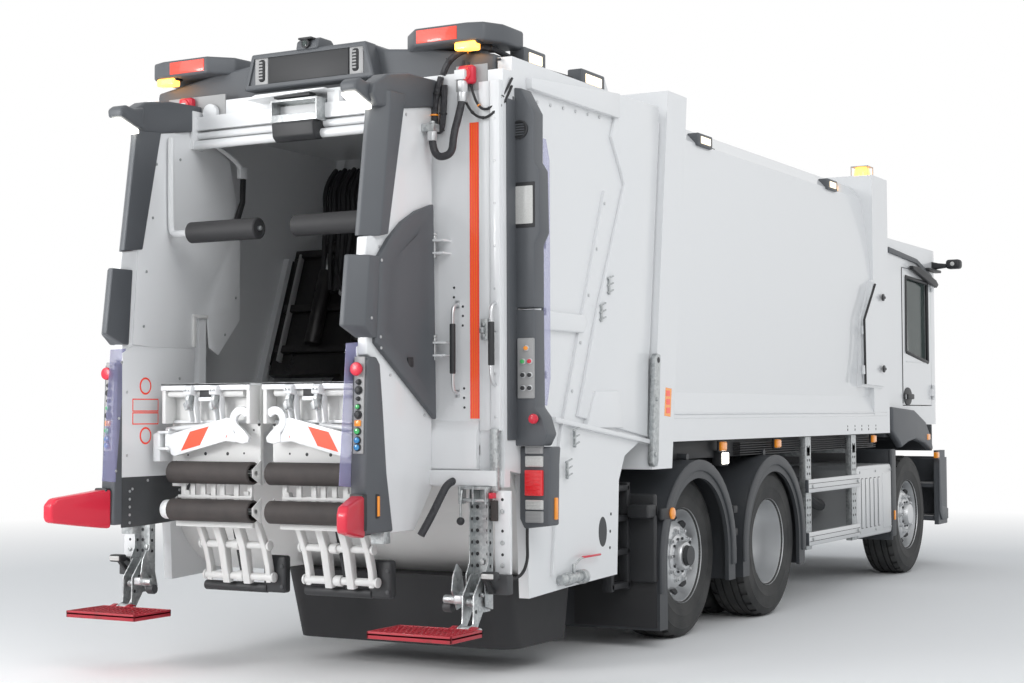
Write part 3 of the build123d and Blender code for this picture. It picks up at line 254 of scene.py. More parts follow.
white = {
    "colour": (0.80, 0.81, 0.82), "dust": (0.60, 0.59, 0.56), "film": 0.16, "filmTop": 1.6, "filmBottom": 0.4,
    "rough": 0.26, "coat": 0.5, "peel": 60.0, "peelDepth": 0.0002,
}
finishes = {
    "white": paintFinish("whitePaint", white),
    "hopper": paintFinish("hopperPaint", {**white, "colour": (0.78, 0.78, 0.77), "rough": 0.42, "coat": 0.1,
        "film": 0.35, "filmTop": 3.4, "dust": (0.40, 0.39, 0.37)}),
    "charcoal": moulded("charcoalPlastic", {"colour": (0.085, 0.092, 0.102), "second": (0.105, 0.112, 0.122),
        "patch": 3.0, "rough": 0.42, "spread": 0.1, "grain": 500.0, "depth": 0.0004}),
    "fender": moulded("fenderPlastic", {"colour": (0.036, 0.039, 0.044), "second": (0.056, 0.060, 0.066),
        "patch": 3.0, "rough": 0.42, "spread": 0.1, "grain": 420.0, "depth": 0.0004}),
    "black": moulded("blackPlastic", {"colour": (0.018, 0.019, 0.021), "second": (0.034, 0.035, 0.038),
        "patch": 4.0, "rough": 0.45, "spread": 0.15, "grain": 380.0, "depth": 0.0004}),
    "chassis": moulded("chassisPaint", {"colour": (0.035, 0.038, 0.042), "second": (0.075, 0.077, 0.08),
        "patch": 5.0, "rough": 0.48, "spread": 0.2, "grain": 45.0, "depth": 0.0008}),
    "greasy": moulded("greasySteel", {"colour": (0.010, 0.010, 0.012), "second": (0.045, 0.042, 0.04),
        "patch": 9.0, "rough": 0.18, "spread": 0.3, "grain": 22.0, "depth": 0.003, "metallic": 0.4}),
    "roller": moulded("rollerRubber", {"colour": (0.020, 0.017, 0.017), "second": (0.075, 0.064, 0.060),
        "patch": 11.0, "rough": 0.6, "spread": 0.25, "grain": 90.0, "depth": 0.0012}),
    "silver": moulded("silverPaint", {"colour": (0.56, 0.57, 0.58), "second": (0.70, 0.71, 0.72),
        "patch": 3.0, "rough": 0.30, "spread": 0.12, "grain": 220.0, "depth": 0.0003, "metallic": 0.75}),
    "aluminium": moulded("aluminium", {"colour": (0.60, 0.61, 0.62), "second": (0.72, 0.73, 0.74),
        "patch": 2.0, "rough": 0.34, "spread": 0.15, "grain": 300.0, "depth": 0.0003, "metallic": 0.8}),
    "red": moulded("redPlastic", {"colour": (0.72, 0.012, 0.045), "second": (0.62, 0.010, 0.035),
        "patch": 3.0, "rough": 0.30, "spread": 0.1, "grain": 200.0, "depth": 0.0003, "coat": 0.3}),
    "seat": moulded("seatCloth", {"colour": (0.055, 0.058, 0.065), "second": (0.085, 0.088, 0.095),
        "patch": 40.0, "rough": 0.85, "spread": 0.1, "grain": 700.0, "depth": 0.001}),
    "dash": moulded("dashPlastic", {"colour": (0.14, 0.14, 0.15), "second": (0.18, 0.18, 0.19), "patch": 4.0,
        "rough": 0.6, "spread": 0.1, "grain": 420.0, "depth": 0.0005}),
    "rubber": moulded("blackRubber", {"colour": (0.016, 0.016, 0.018), "second": (0.03, 0.03, 0.032),
        "patch": 12.0, "rough": 0.55, "spread": 0.2, "grain": 260.0, "depth": 0.0006}),
    "sleeve": sleeveFinish(),
    "tyre": tyreFinish(),
    "zinc": zincFinish(),
    "glass": glassFinish("cabGlass", (0.05, 0.09, 0.08), 0.45),
    "flap": glassFinish("clearFlap", (0.50, 0.50, 0.78), 0.42),
    "stripes": stripeFinish(),
    "grating": gratingFinish(),
    "amber": lampFinish("amberLens", (0.80, 0.26, 0.02), (1.0, 0.35, 0.02), 0.25),
    "amberLit": lampFinish("amberLit", (1.0, 0.45, 0.05), (1.0, 0.42, 0.06), 5.0),
    "redLens": lampFinish("redLens", (0.62, 0.02, 0.03), (0.9, 0.03, 0.03), 0.25),
    # red reflective film and stickers: the faint emission is a painted glow standing in for the light the
    # film reflects
    "redStrip": lampFinish("redReflectorPaintedGlow", (0.92, 0.055, 0.03), (1.0, 0.10, 0.04), 0.24, 0.3),
    "whiteLit": lampFinish("whiteLit", (1.0, 0.98, 0.92), (1.0, 0.96, 0.86), 6.0),
    "warmLit": lampFinish("warmLit", (1.0, 0.90, 0.72), (1.0, 0.80, 0.52), 1.6),
    "greenCap": lampFinish("greenCap", (0.05, 0.45, 0.12), (0.1, 0.9, 0.2), 0.05),
    "blueCap": lampFinish("blueCap", (0.03, 0.25, 0.55), (0.05, 0.4, 0.9), 0.05),
    "clearLens": lampFinish("clearLens", (0.62, 0.62, 0.60), (1.0, 1.0, 1.0), 0.05),
    "panel": moulded("panelGrey", {"colour": (0.34, 0.34, 0.34), "second": (0.42, 0.42, 0.42), "patch": 6.0,
        "rough": 0.4, "spread": 0.1, "grain": 300.0, "depth": 0.0003}),
}
print("finishes made")


# ---- hand tools
def pick(*chosen):
    bpy.ops.object.select_all(action="DESELECT")
    for piece in chosen:
        piece.select_set(True)
    bpy.context.view_layer.objects.active = chosen[0]


def settle(piece):  # its place, turn and size go into its mesh
    pick(piece)
    bpy.ops.object.transform_apply(location=True, rotation=True, scale=True)
    return piece


def rounded(piece, width, segments=2, angle=35):
    pick(piece)
    bevel = piece.modifiers.new("round", "BEVEL")
    bevel.width, bevel.segments = width, segments
    bevel.limit_method, bevel.angle_limit = "ANGLE", math.radians(angle)
    bpy.ops.object.modifier_apply(modifier=bevel.name)
    return piece


def coated(piece, finish):
    piece.data.materials.clear()
    piece.data.materials.append(finishes[finish])
    return piece


def slab(finish, low, high, rounding=0.004, segments=2):  # a box with softened edges
    middle = [(a + b) / 2 for a, b in zip(low, high)]
    bpy.ops.mesh.primitive_cube_add(size=1, location=middle)
    piece = bpy.context.object
    piece.scale = [abs(b - a) for a, b in zip(low, high)]
    settle(piece)
    if rounding:
        rounded(piece, rounding, segments)
    return coated(piece, finish)


def spot(axis, along, across, depth):  # a point of an outline that faces along an axis
    if axis == "x":
        return (depth, along, across)
    if axis == "y":
        return (along, depth, across)
    return (along, across, depth)


# an outline pushed through from near to far
def cutout(finish, axis, points, near, far, rounding=0.004, segments=2):
    bpy.ops.mesh.primitive_circle_add(vertices=len(points), radius=1, fill_type="NGON")
    piece = bpy.context.object
    for vertex, (along, across) in zip(piece.data.vertices, points):
        vertex.co = spot(axis, along, across, near)
    bpy.ops.object.mode_set(mode="EDIT")
    bpy.ops.mesh.select_all(action="SELECT")
    bpy.ops.mesh.extrude_region_move(TRANSFORM_OT_translate={"value": spot(axis, 0, 0, far - near)})
    bpy.ops.mesh.select_all(action="SELECT")
    bpy.ops.mesh.normals_make_consistent(inside=False)
    bpy.ops.object.mode_set(mode="OBJECT")
    if rounding:
        rounded(piece, rounding, segments)
    return coated(piece, finish)


# a round bar, or a cone with another tip
def bar(finish, start, end, radius, rounding=0.002, steps=24, tip=None):
    way = Vector(end) - Vector(start)
    bpy.ops.mesh.primitive_cone_add(
        vertices=steps, radius1=radius, radius2=radius if tip is None else tip, depth=way.length,
        location=(Vector(start) + Vector(end)) / 2, rotation=way.to_track_quat("Z", "Y").to_euler(),
    )
    piece = settle(bpy.context.object)
    if rounding:
        rounded(piece, rounding)
    return coated(piece, finish)


# a closed profile of (radius, along the axis) spun round
def turned(finish, centre, axis, profile, steps=48):
    bpy.ops.mesh.primitive_circle_add(vertices=len(profile), radius=1, fill_type="NOTHING")
    piece = bpy.context.object
    for vertex, (radius, along) in zip(piece.data.vertices, profile):
        vertex.co = {"x": (along, 0, radius), "y": (0, along, radius), "z": (radius, 0, along)}[axis]
    way = {"x": (1, 0, 0), "y": (0, 1, 0), "z": (0, 0, 1)}[axis]
    bpy.ops.object.mode_set(mode="EDIT")
    bpy.ops.mesh.select_all(action="SELECT")
    bpy.ops.mesh.spin(steps=steps, angle=math.tau, center=(0, 0, 0), axis=way)
    bpy.ops.mesh.select_all(action="SELECT")
    bpy.ops.mesh.remove_doubles(threshold=0.0001)
    bpy.ops.mesh.normals_make_consistent(inside=False)
    bpy.ops.object.mode_set(mode="OBJECT")
    piece.location = centre
    return coated(settle(piece), finish)


def tube(finish, points, radius, sides=10):  # a bent tube that follows points
    bpy.ops.curve.primitive_nurbs_path_add()
    path = bpy.context.object
    spline = path.data.splines[0]
    spline.points.add(max(0, len(points) - len(spline.points)))
    if len(points) < len(spline.points):
        path.data.splines.remove(spline)
        spline = path.data.splines.new("NURBS")
        spline.points.add(len(points) - 1)
    for point, place in zip(spline.points, points):
        point.co = (*place, 1)
    spline.order_u, spline.use_endpoint_u, spline.resolution_u = 3, True, 6
    path.data.bevel_depth, path.data.bevel_resolution, path.data.use_fill_caps = radius, sides // 4, True
    pick(path)
    bpy.ops.object.convert(target="MESH")
    return coated(bpy.context.object, finish)


def facesEdited(piece, wanted):  # edit mode with only the wanted faces selected
    pick(piece)
    bpy.ops.object.mode_set(mode="EDIT")
    bpy.ops.mesh.select_mode(type="FACE")
    bpy.ops.mesh.select_all(action="DESELECT")
    bpy.ops.object.mode_set(mode="OBJECT")
    for face in piece.data.polygons:
        face.select = wanted(face)
    bpy.ops.object.mode_set(mode="EDIT")


def recessed(piece, wanted, rim, depth, finish=None):  # a sunken panel in the wanted faces
    facesEdited(piece, wanted)
    bpy.ops.mesh.inset(thickness=rim)
    bpy.ops.mesh.inset(thickness=min(0.001, rim / 4), depth=-depth)
    if finish:
        piece.data.materials.append(finishes[finish])
        piece.active_material_index = len(piece.data.materials) - 1
        bpy.ops.object.material_slot_assign()
    bpy.ops.object.mode_set(mode="OBJECT")
    return piece


def facing(axis, sign, least=0.9):
    place = "xyz".index(axis)
    return lambda face: face.normal[place] * sign > least


def largest(axis, sign):  # picks out the broad face on one side, not the bevels round it
    place = "xyz".index(axis)
    return lambda face: face.normal[place] * sign > 0.99 and face.area > 0.0002


def joinUp(pieces):
    pick(*pieces)
    if len(pieces) > 1:
        bpy.ops.object.join()
    return bpy.context.object


def twin(piece):
    other = piece.copy()
    other.data = piece.data.copy()
    bpy.context.collection.objects.link(other)
    return other


def copies(model, places):  # the model's twins, moved by each place, as one piece
    made = []
    for place in places:
        other = twin(model)
        other.location = Vector(place)
        made.append(settle(other))
    bpy.data.objects.remove(model)
    return joinUp(made)


def mirrored(piece):  # the piece and its twin across the truck's middle
    other = twin(piece)
    other.scale.y = -1
    settle(other)
    pick(other)
    bpy.ops.object.mode_set(mode="EDIT")
    bpy.ops.mesh.select_all(action="SELECT")
    bpy.ops.mesh.normals_make_consistent(inside=False)
    bpy.ops.object.mode_set(mode="OBJECT")
    return joinUp([piece, other])


# hexagon heads on a face that looks along an axis
def bolts(finish, places, axis, radius=0.010, height=0.008, steps=6):
    reach = {"x": (height, 0, 0), "y": (0, height, 0), "z": (0, 0, height)}[axis]
    return copies(bar(finish, (0, 0, 0), reach, radius, radius * 0.15, steps), places)


# one finished piece, moved to the frame and carried by a body
def fit(name, pieces, body, replaced=(), angle=35):
    piece = joinUp(pieces)
    piece.name = piece.data.name = name
    piece.location.x += trailingX
    settle(piece)
    bpy.ops.object.shade_smooth_by_angle(angle=math.radians(angle))
    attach(piece, body)
    if replaced:
        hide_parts(*replaced)
    return piece


def line(start, end, count):  # evenly spaced places from start to end
    first, last = Vector(start), Vector(end)
    return [first.lerp(last, number / (count - 1)) for number in range(count)]

# ---- roof fairing over the tailgate's rear
fairing = {"rear": -2.34, "front": -2.06, "boxRear": -2.43, "wingRear": -2.44, "bandLow": 3.06,
    "rounding": 0.018}


def makeFairing():
    rear, front, low = fairing["rear"], fairing["front"], fairing["bandLow"]
    edge = [(-1.13, low), (1.13, low), (1.14, 3.30), (0.72, 3.37), (0.44, 3.40), (0.38, 3.43)]
    edge += [(-0.38, 3.43), (-0.44, 3.40), (-0.72, 3.37), (-1.14, 3.30)]
    band = cutout("charcoal", "x", edge, rear, front, fairing["rounding"], 3)
    box = cutout("charcoal", "x", [(-0.44, 3.235), (0.44, 3.235), (0.385, 3.435), (-0.385, 3.435)],
        fairing["boxRear"], rear + 0.02, 0.012, 3)
    recessed(box, lambda face: face.normal.x < -0.99 and face.area > 0.01, 0.014, 0.012, "charcoal")
    screen = slab("black", (fairing["boxRear"] + 0.004, -0.27, 3.262), (rear, 0.27, 3.412), 0.006)
    niches = []
    for side in (-1, 1):
        niches.append(slab("panel", (fairing["boxRear"] + 0.006, side * 0.275, 3.258),
            (rear, side * 0.365, 3.416), 0.006))
        lens = slab("black", (fairing["boxRear"] - 0.006, side * 0.292, 3.275), (rear, side * 0.338, 3.402),
            0.018, 4)
        niches.append(lens)
        for level in line((0, 0, 3.295), (0, 0, 3.382), 6):
            low, high = level.z - 0.004, level.z + 0.004
            niches.append(slab("panel", (fairing["boxRear"] - 0.009, side * 0.303, low),
                (rear, side * 0.327, high), 0.001, 1))
    wings = []
    for side in (-1, 1):
        plan = [(fairing["wingRear"], side * 0.70), (fairing["wingRear"], side * 1.02), (-2.41, side * 1.11)]
        plan += [(-2.30, side * 1.17), (-2.08, side * 1.17), (-2.08, side * 0.55), (-2.32, side * 0.58)]
        wings.append(cutout("charcoal", "z", plan, 3.362, 3.462, 0.016, 3))
        wings.append(slab("redStrip", (fairing["wingRear"] - 0.004, side * 0.715, 3.378),
            (-2.40, side * 0.965, 3.448), 0.003))
        wings.append(slab("amberLit", (fairing["wingRear"] + 0.004, side * 0.945, 3.318),
            (-2.37, side * 1.07, 3.362), 0.010, 3))
        wings.append(slab("black", (fairing["wingRear"] + 0.02, side * 0.935, 3.35),
            (-2.36, side * 1.08, 3.372), 0.004))
    return fit("roofFairing", [band, box, screen, *niches, *wings], "tailgate")


def makeRearCamera():
    pod = cutout("charcoal", "y", [(-2.44, 3.425), (-2.43, 3.475), (-2.40, 3.492), (-2.30, 3.492),
        (-2.22, 3.42)], -0.075, 0.075, 0.012, 3)
    eye = bar("black", (-2.455, 0, 3.455), (-2.42, 0, 3.455), 0.026, 0.004)
    glass = bar("glass", (-2.459, 0, 3.455), (-2.452, 0, 3.455), 0.016, 0.002)
    hood = slab("black", (-2.458, -0.045, 3.478), (-2.41, 0.045, 3.490), 0.004)
    return fit("rearCamera", [pod, eye, glass, hood], "tailgate")


makeFairing()
makeRearCamera()
print("fairing made")


# ---- lamp columns on the tailgate's rear corners
column = {"rear": -2.30, "front": -2.19, "inner": 1.223, "outer": 1.345}


def makeColumn(side):
    rear, front, inner, outer = column["rear"], column["front"], column["inner"], column["outer"]
    upper = [(1.186, 3.126), (1.272, 3.112), (1.344, 2.981), (1.341, 2.729), (1.372, 2.68), (1.378, 2.356),
        (1.346, 2.292)]
    upper += [(outer, 1.965), (inner, 1.965), (inner, 2.80)]
    middle = [(inner, 1.955), (outer, 1.955), (1.349, 1.45), (1.388, 1.40), (1.416, 1.31), (1.385, 1.25),
        (inner, 1.25)]
    lower = [(inner, 1.245), (1.412, 1.245), (1.405, 1.15), (1.40, 0.838), (1.25, 0.82), (inner, 0.87)]
    made = []
    for outline, depth in ((upper, 0.0), (middle, 0.0), (lower, 0.05)):
        points = [(side * y, z) for y, z in outline]
        made.append(cutout("charcoal", "x", points, rear + depth, front + depth, 0.010, 3))
    made.append(slab("charcoal", (-2.39, side * 1.2305, 1.28), (rear + 0.02, side * 1.238, 3.05), 0.003))
    made.append(bar("charcoal", (rear - 0.012, side * 1.222, 3.07), (rear - 0.012, side * 1.198, 1.99), 0.012,
        0.003))
    lamps = (("panel", 1.209, 1.266), ("clearLens", 1.141, 1.198), ("redLens", 0.992, 1.125),
        ("clearLens", 0.920, 0.971), ("panel", 0.853, 0.913))
    for finish, low, high in lamps:
        deep = -2.262 if finish != "redLens" else -2.268
        box = slab(finish, (deep, side * 1.262, low), (rear + 0.06, side * 1.366, high), 0.006, 3)
        made.append(box)
        for number in range(6 if finish == "redLens" else 3):
            z = low + (high - low) * (number + 0.5) / (6 if finish == "redLens" else 3)
            made.append(slab(finish, (deep - 0.003, side * 1.272, z - 0.003),
                (rear + 0.06, side * 1.356, z + 0.003), 0.001, 1))
    made.append(slab("amber", (-2.20, side * 1.398, 0.868), (-2.17, side * 1.412, 0.982), 0.005, 3))
    return made


def makeButtons():  # the speaker and the buttons on the right-hand column
    rear = column["rear"]
    made = [turned("black", (rear, -1.262, 2.895), "x", [(0.0, -0.002), (0.036, -0.002), (0.042, -0.010),
        (0.048, -0.008), (0.050, 0.01), (0.0, 0.01)])]
    for level in line((0, 0, 2.868), (0, 0, 2.922), 5):
        made.append(slab("charcoal", (rear - 0.006, -1.29, level.z - 0.003), (rear, -1.234, level.z + 0.003),
            0.001, 1))
    made.append(slab("panel", (rear - 0.010, -1.343, 1.495), (rear + 0.01, -1.246, 1.808), 0.006))
    for finish, y, z in (("amber", -1.302, 1.755), ("greenCap", -1.282, 1.686), ("red", -1.322, 1.687),
            ("black", -1.282, 1.616), ("black", -1.322, 1.616), ("black", -1.282, 1.549),
            ("black", -1.322, 1.549)):
        made.append(bar("aluminium", (rear - 0.016, y, z), (rear - 0.008, y, z), 0.0155, 0.002))
        made.append(bar(finish, (rear - 0.026, y, z), (rear - 0.014, y, z), 0.011, 0.002))
    made.append(bar("black", (rear - 0.02, -1.352, 1.39), (rear + 0.01, -1.352, 1.39), 0.017, 0.003))
    made.append(bar("red", (rear - 0.045, -1.352, 1.39), (rear - 0.018, -1.352, 1.39), 0.026, 0.008))
    for low, high, finish in ((2.38, 2.62, "black"), (2.40, 2.60, "clearLens")):
        deep = rear - (0.004 if finish == "black" else 0.007)
        made.append(slab(finish, (deep, -1.35 if finish == "black" else -1.34, low),
            (rear + 0.02, -1.235, high), 0.006))
    return made


makers = []
for side in (-1, 1):
    makers += makeColumn(side)
fit("lampColumns", makers + makeButtons(), "tailgate", ["tail_lamps"])
print("lamp columns made")


# ---- beam, tubes and comb roller over the hopper's mouth
gantry = {"beamAt": -2.45, "half": 0.757}


def makeGantry():
    at, half = gantry["beamAt"], gantry["half"]
    beam = cutout("white", "x", [(-half, 3.03), (half, 3.03), (half, 3.105), (0.3, 3.115), (-half, 3.105)],
        at - 0.03, at + 0.03, 0.004)
    made = [beam]
    for height, radius, ahead in ((3.0, 0.022, at - 0.005), (2.945, 0.026, at - 0.03)):
        made.append(bar("white", (ahead, -half, height), (ahead, half, height), radius, 0.001, 28))
        for side in (-1, 1):
            made.append(bar("white", (ahead, side * 0.69, height), (ahead, side * half, height), radius * 0.8,
                0.003, 28))
    for side in (-1, 1):
        made.append(slab("white", (at - 0.06, side * 0.735, 2.92), (at + 0.04, side * half, 3.14), 0.004))
    made.append(bar("white", (at - 0.01, 0.66, 3.13), (at + 0.02, 0.66, 3.13), 0.05, 0.004, 30))
    # device in the middle: galvanised housing and a dark roller
    made.append(slab("zinc", (at - 0.11, -0.155, 3.01), (at + 0.0, -0.145, 3.135), 0.002))
    made.append(slab("zinc", (at - 0.11, 0.145, 3.01), (at + 0.0, 0.155, 3.135), 0.002))
    made.append(slab("zinc", (at - 0.11, -0.15, 3.01), (at - 0.10, 0.15, 3.052), 0.002))
    made.append(slab("zinc", (at - 0.11, -0.15, 3.122), (at + 0.0, 0.15, 3.135), 0.002))
    made.append(slab("zinc", (at - 0.02, -0.15, 3.01), (at - 0.012, 0.15, 3.125), 0.002))
    roller = cutout("black", "y", [(at - 0.125, 3.0), (at - 0.115, 2.93), (at - 0.085, 2.905),
        (at - 0.02, 2.915), (at, 2.99), (at - 0.02, 3.012), (at - 0.11, 3.014)], -0.138, 0.138, 0.008, 3)
    made.append(roller)
    # flat lamp bracket over it
    made.append(cutout("white", "x", [(-0.21, 3.175), (0.25, 3.175), (0.31, 3.155), (0.31, 3.150),
        (-0.21, 3.168)], at - 0.12, at + 0.05, 0.002))
    made.append(slab("white", (at - 0.02, -0.24, 3.10), (at + 0.02, -0.16, 3.175), 0.003))
    made.append(slab("black", (at - 0.10, -0.10, 3.145), (at - 0.04, 0.14, 3.167), 0.004))
    return fit("gantry", made, "tailgate")


makeGantry()
print("gantry made")
# ---- wheels
wheel = {
    "radius": 0.515, "width": 0.300, "bead": 0.289, "height": 0.515, "steps": 90, "grooveDepth": 0.014,
    "places": {"front": 4.95, "drive": 1.35, "trailing": 0.0}, "faces": {"front": 1.175, "drive": 1.236,
        "trailing": 1.175},
    "twinStep": 0.334, "nuts": 10, "holes": 10, "holeRing": 0.217,
}


def tyreProfile():  # (radius, across from the outer face inwards) of the rubber's section
    half = [(wheel["bead"], 0.030), (0.300, 0.016), (0.345, 0.006), (0.375, 0.0035), (0.379, 0.0015),
        (0.385, 0.0035), (0.425, 0.0015), (0.455, 0.004), (0.459, 0.002), (0.466, 0.006), (0.490, 0.014),
        (0.504, 0.024), (0.509, 0.036)]
    top, deep = wheel["radius"], wheel["radius"] - wheel["grooveDepth"]
    for groove in (0.068, 0.118):
        half += [(top, groove - 0.006), (deep, groove - 0.003), (deep, groove + 0.003), (top, groove + 0.006)]
    half.append((top, 0.150))
    back = [(radius, wheel["width"] - across) for radius, across in reversed(half[:-1])]
    return half + back + [(0.292, wheel["width"] - 0.05), (0.292, 0.05)]


def makeTyre(axle, sideName, side):
    face, ahead = wheel["faces"][axle], wheel["places"][axle]
    made = []
    for number in range(2 if axle == "drive" else 1):
        outer = face - number * wheel["twinStep"]
        profile = [(radius, -side * across) for radius, across in tyreProfile()]
        rubber = turned("tyre", (0, 0, 0), "y", profile, wheel["steps"])
        steps, width = wheel["steps"], wheel["width"]

        def shoulder(part):  # every third block between the shoulder's edge and the outer groove
            centre = part.center
            if math.hypot(centre.x, centre.z) < 0.5 or 0.055 < abs(centre.y) < width - 0.055:
                return False
            return int(round((math.atan2(centre.z, centre.x) / math.tau * steps) - 0.5)) % 3 == 0

        facesEdited(rubber, shoulder)
        bpy.ops.mesh.extrude_region_move()
        bpy.ops.transform.shrink_fatten(value=-0.010)
        bpy.ops.object.mode_set(mode="OBJECT")
        rubber.location = (ahead, side * outer, wheel["height"])
        made.append(settle(rubber))
    fit(f"tyre{axle.title()}{sideName.title()}", made, f"wheel_{axle}_{sideName}",
        [f"tyre_{axle}_{sideName}"], 30)


def makeRim(axle, sideName, side):
    face, ahead, height = wheel["faces"][axle], wheel["places"][axle], wheel["height"]
    centre = (ahead, side * face, height)
    lip = [(0.300, 0.012), (0.302, 0.020), (0.296, 0.026), (0.288, 0.030), (0.284, 0.060)]
    made = []
    if axle == "drive":
        section = lip + [(0.272, 0.150), (0.262, 0.255), (0.235, 0.292), (0.160, 0.304), (0.128, 0.300),
            (0.120, 0.298), (0.118, 0.330), (0.240, 0.312), (0.274, 0.270), (0.284, 0.290), (0.302, 0.310),
            (0.302, 0.60), (0.310, 0.62), (0.296, 0.628), (0.290, 0.60), (0.290, 0.05)]
        made.append(turned("silver", centre, "y", [(radius, -side * across) for radius, across in section],
            72))
        hub = [(0.118, 0.32), (0.118, 0.235), (0.112, 0.222), (0.085, 0.215), (0.080, 0.198), (0.0, 0.196),
            (0.0, 0.32)]
        made.append(turned("chassis", centre, "y", [(radius, -side * across) for radius, across in hub], 48))
        nutAt, ring = 0.300, 0.1675
    else:
        section = lip + [(0.268, 0.125), (0.256, 0.128), (0.244, 0.112), (0.188, 0.052), (0.178, 0.046),
            (0.140, 0.044), (0.136, 0.047), (0.134, 0.062), (0.178, 0.062), (0.236, 0.122), (0.262, 0.150),
            (0.284, 0.10), (0.290, 0.27), (0.302, 0.288), (0.300, 0.292), (0.292, 0.29), (0.287, 0.06)]
        disc = turned("silver", centre, "y", [(radius, -side * across) for radius, across in section], 80)
        made.append(disc)
        hole = bar("black", (ahead + wheel["holeRing"], side * (face - 0.079), height),
                   (ahead + wheel["holeRing"] + 0.012, side * (face - 0.091), height), 0.034, 0, 20)
        rings = []
        for number in range(wheel["holes"]):
            angle = math.tau * (number + 0.5) / wheel["holes"]
            other = twin(hole)
            pick(other)
            other.matrix_world = (Matrix.Translation((ahead, 0, height)) @ Matrix.Rotation(angle, 4, "Y")
                                  @ Matrix.Translation((-ahead, 0, -height)))
            rings.append(settle(other))
        bpy.data.objects.remove(hole)
        made += rings
        hub = [(0.134, 0.10), (0.134, 0.044), (0.122, 0.036), (0.095, 0.034), (0.092, 0.0), (0.084, -0.012),
            (0.030, -0.016), (0.0, -0.016), (0.0, 0.10)]
        made.append(turned("silver", centre, "y", [(radius, -side * across) for radius, across in hub], 48))
        if axle == "trailing":
            cap = [(0.0, -0.024), (0.022, -0.024), (0.026, -0.019), (0.060, -0.018), (0.066, -0.014),
                (0.066, 0.02), (0.0, 0.02)]
            made.append(turned("greasy", centre, "y", [(radius, -side * across) for radius, across in cap],
                40))
        small = []
        for number in range(10):
            angle = math.tau * number / 10
            small.append((ahead + 0.108 * math.cos(angle), side * (face - 0.036),
                height + 0.108 * math.sin(angle)))
        made.append(bolts("chassis", small, "y", 0.009, side * 0.012))
        nutAt, ring = 0.046, 0.158
    nut = bar("silver", (0, 0, 0), (0, side * 0.020, 0), 0.0165, 0.002, 6)
    stud = bar("silver", (0, 0, 0), (0, side * 0.034, 0), 0.010, 0.002, 12)
    washer = bar("silver", (0, -side * 0.004, 0), (0, side * 0.006, 0), 0.021, 0.001, 20)
    places = []
    for number in range(wheel["nuts"]):
        angle = math.tau * number / wheel["nuts"]
        places.append((ahead + ring * math.cos(angle), side * (face - nutAt),
            height + ring * math.sin(angle)))
    made.append(copies(joinUp([nut, stud, washer]), places))
    fit(f"rim{axle.title()}{sideName.title()}", made, f"wheel_{axle}_{sideName}", [f"rim_{axle}_{sideName}"],
        40)


for sideName, side in sides.items():
    for axle in wheel["places"]:
        makeTyre(axle, sideName, side)
        makeRim(axle, sideName, side)
print("wheels made")
# ---- shields beside the hopper's mouth
shield = {
    "inner": 0.760, "outer": 0.820, "edgeInner": 0.745, "wedge": 0.075,
    "white": [(-2.45, 3.135), (-2.745, 3.086), (-2.88, 2.95), (-2.975, 2.310), (-3.066, 2.295),
        (-3.075, 2.205), (-3.060, 1.80), (-3.062, 1.712), (-2.985, 1.68), (-2.950, 1.457), (-2.915, 1.125),
        (-2.869, 0.822), (-2.628, 0.822), (-2.46, 1.03)],
    "upperEdge": [(-2.751, 3.045), (-2.970, 3.045), (-2.975, 2.930), (-3.066, 2.300), (-2.915, 2.318)],
    "lowerEdge": [(-2.994, 2.201), (-3.155, 2.201), (-3.200, 1.850), (-3.062, 1.795), (-3.022, 1.795)],
    "cover": [(-2.994, 2.201), (-2.90, 2.300), (-2.78, 2.392), (-2.64, 2.463), (-2.484, 2.512),
        (-2.460, 1.388), (-3.022, 1.768)],
    "coverFace": 0.850,
    "box": [(-3.075, 1.70), (-3.098, 1.685), (-3.127, 0.85), (-3.118, 0.832), (-2.872, 0.832),
        (-2.929, 1.125), (-2.963, 1.457), (-2.988, 1.665), (-3.02, 1.70)],
    "steelLow": [(-2.50, 1.02), (-2.62, 0.83), (-2.88, 0.818), (-3.062, 0.815), (-3.062, 1.085),
        (-2.50, 1.085)],
    "whiteLow": [(-2.50, 1.083), (-3.062, 1.083), (-3.065, 1.75), (-2.985, 1.79), (-2.50, 1.79)],
    "screws": [(-2.709, 2.952), (-2.824, 2.629), (-2.888, 2.351), (-2.959, 2.254), (-2.705, 2.404),
        (-2.582, 3.010), (-2.859, 1.613), (-2.538, 1.411), (-2.950, 1.464), (-2.925, 1.158), (-2.880, 0.932)],
    "coverScrews": [(-2.98, 2.181), (-3.07, 1.89), (-2.99, 1.80), (-2.985, 1.745)],
}


# a moulding whose rear corner is cut away towards the outside
def edgeMoulding(finish, outline, side, rearmost):
    near, wedge = side * shield["edgeInner"], shield["wedge"]
    piece = cutout(finish, "y", outline, near, side * (shield["coverFace"] - wedge), 0)
    facesEdited(piece, facing("y", side, 0.99))
    bpy.ops.mesh.extrude_region_move(TRANSFORM_OT_translate={"value": (0, side * wedge, 0)})
    bpy.ops.object.mode_set(mode="OBJECT")
    for vertex in piece.data.vertices:
        if abs(vertex.co.y) > shield["coverFace"] - 0.001 and vertex.co.x < rearmost:
            vertex.co.x += wedge
    return rounded(piece, 0.007, 3, 20)


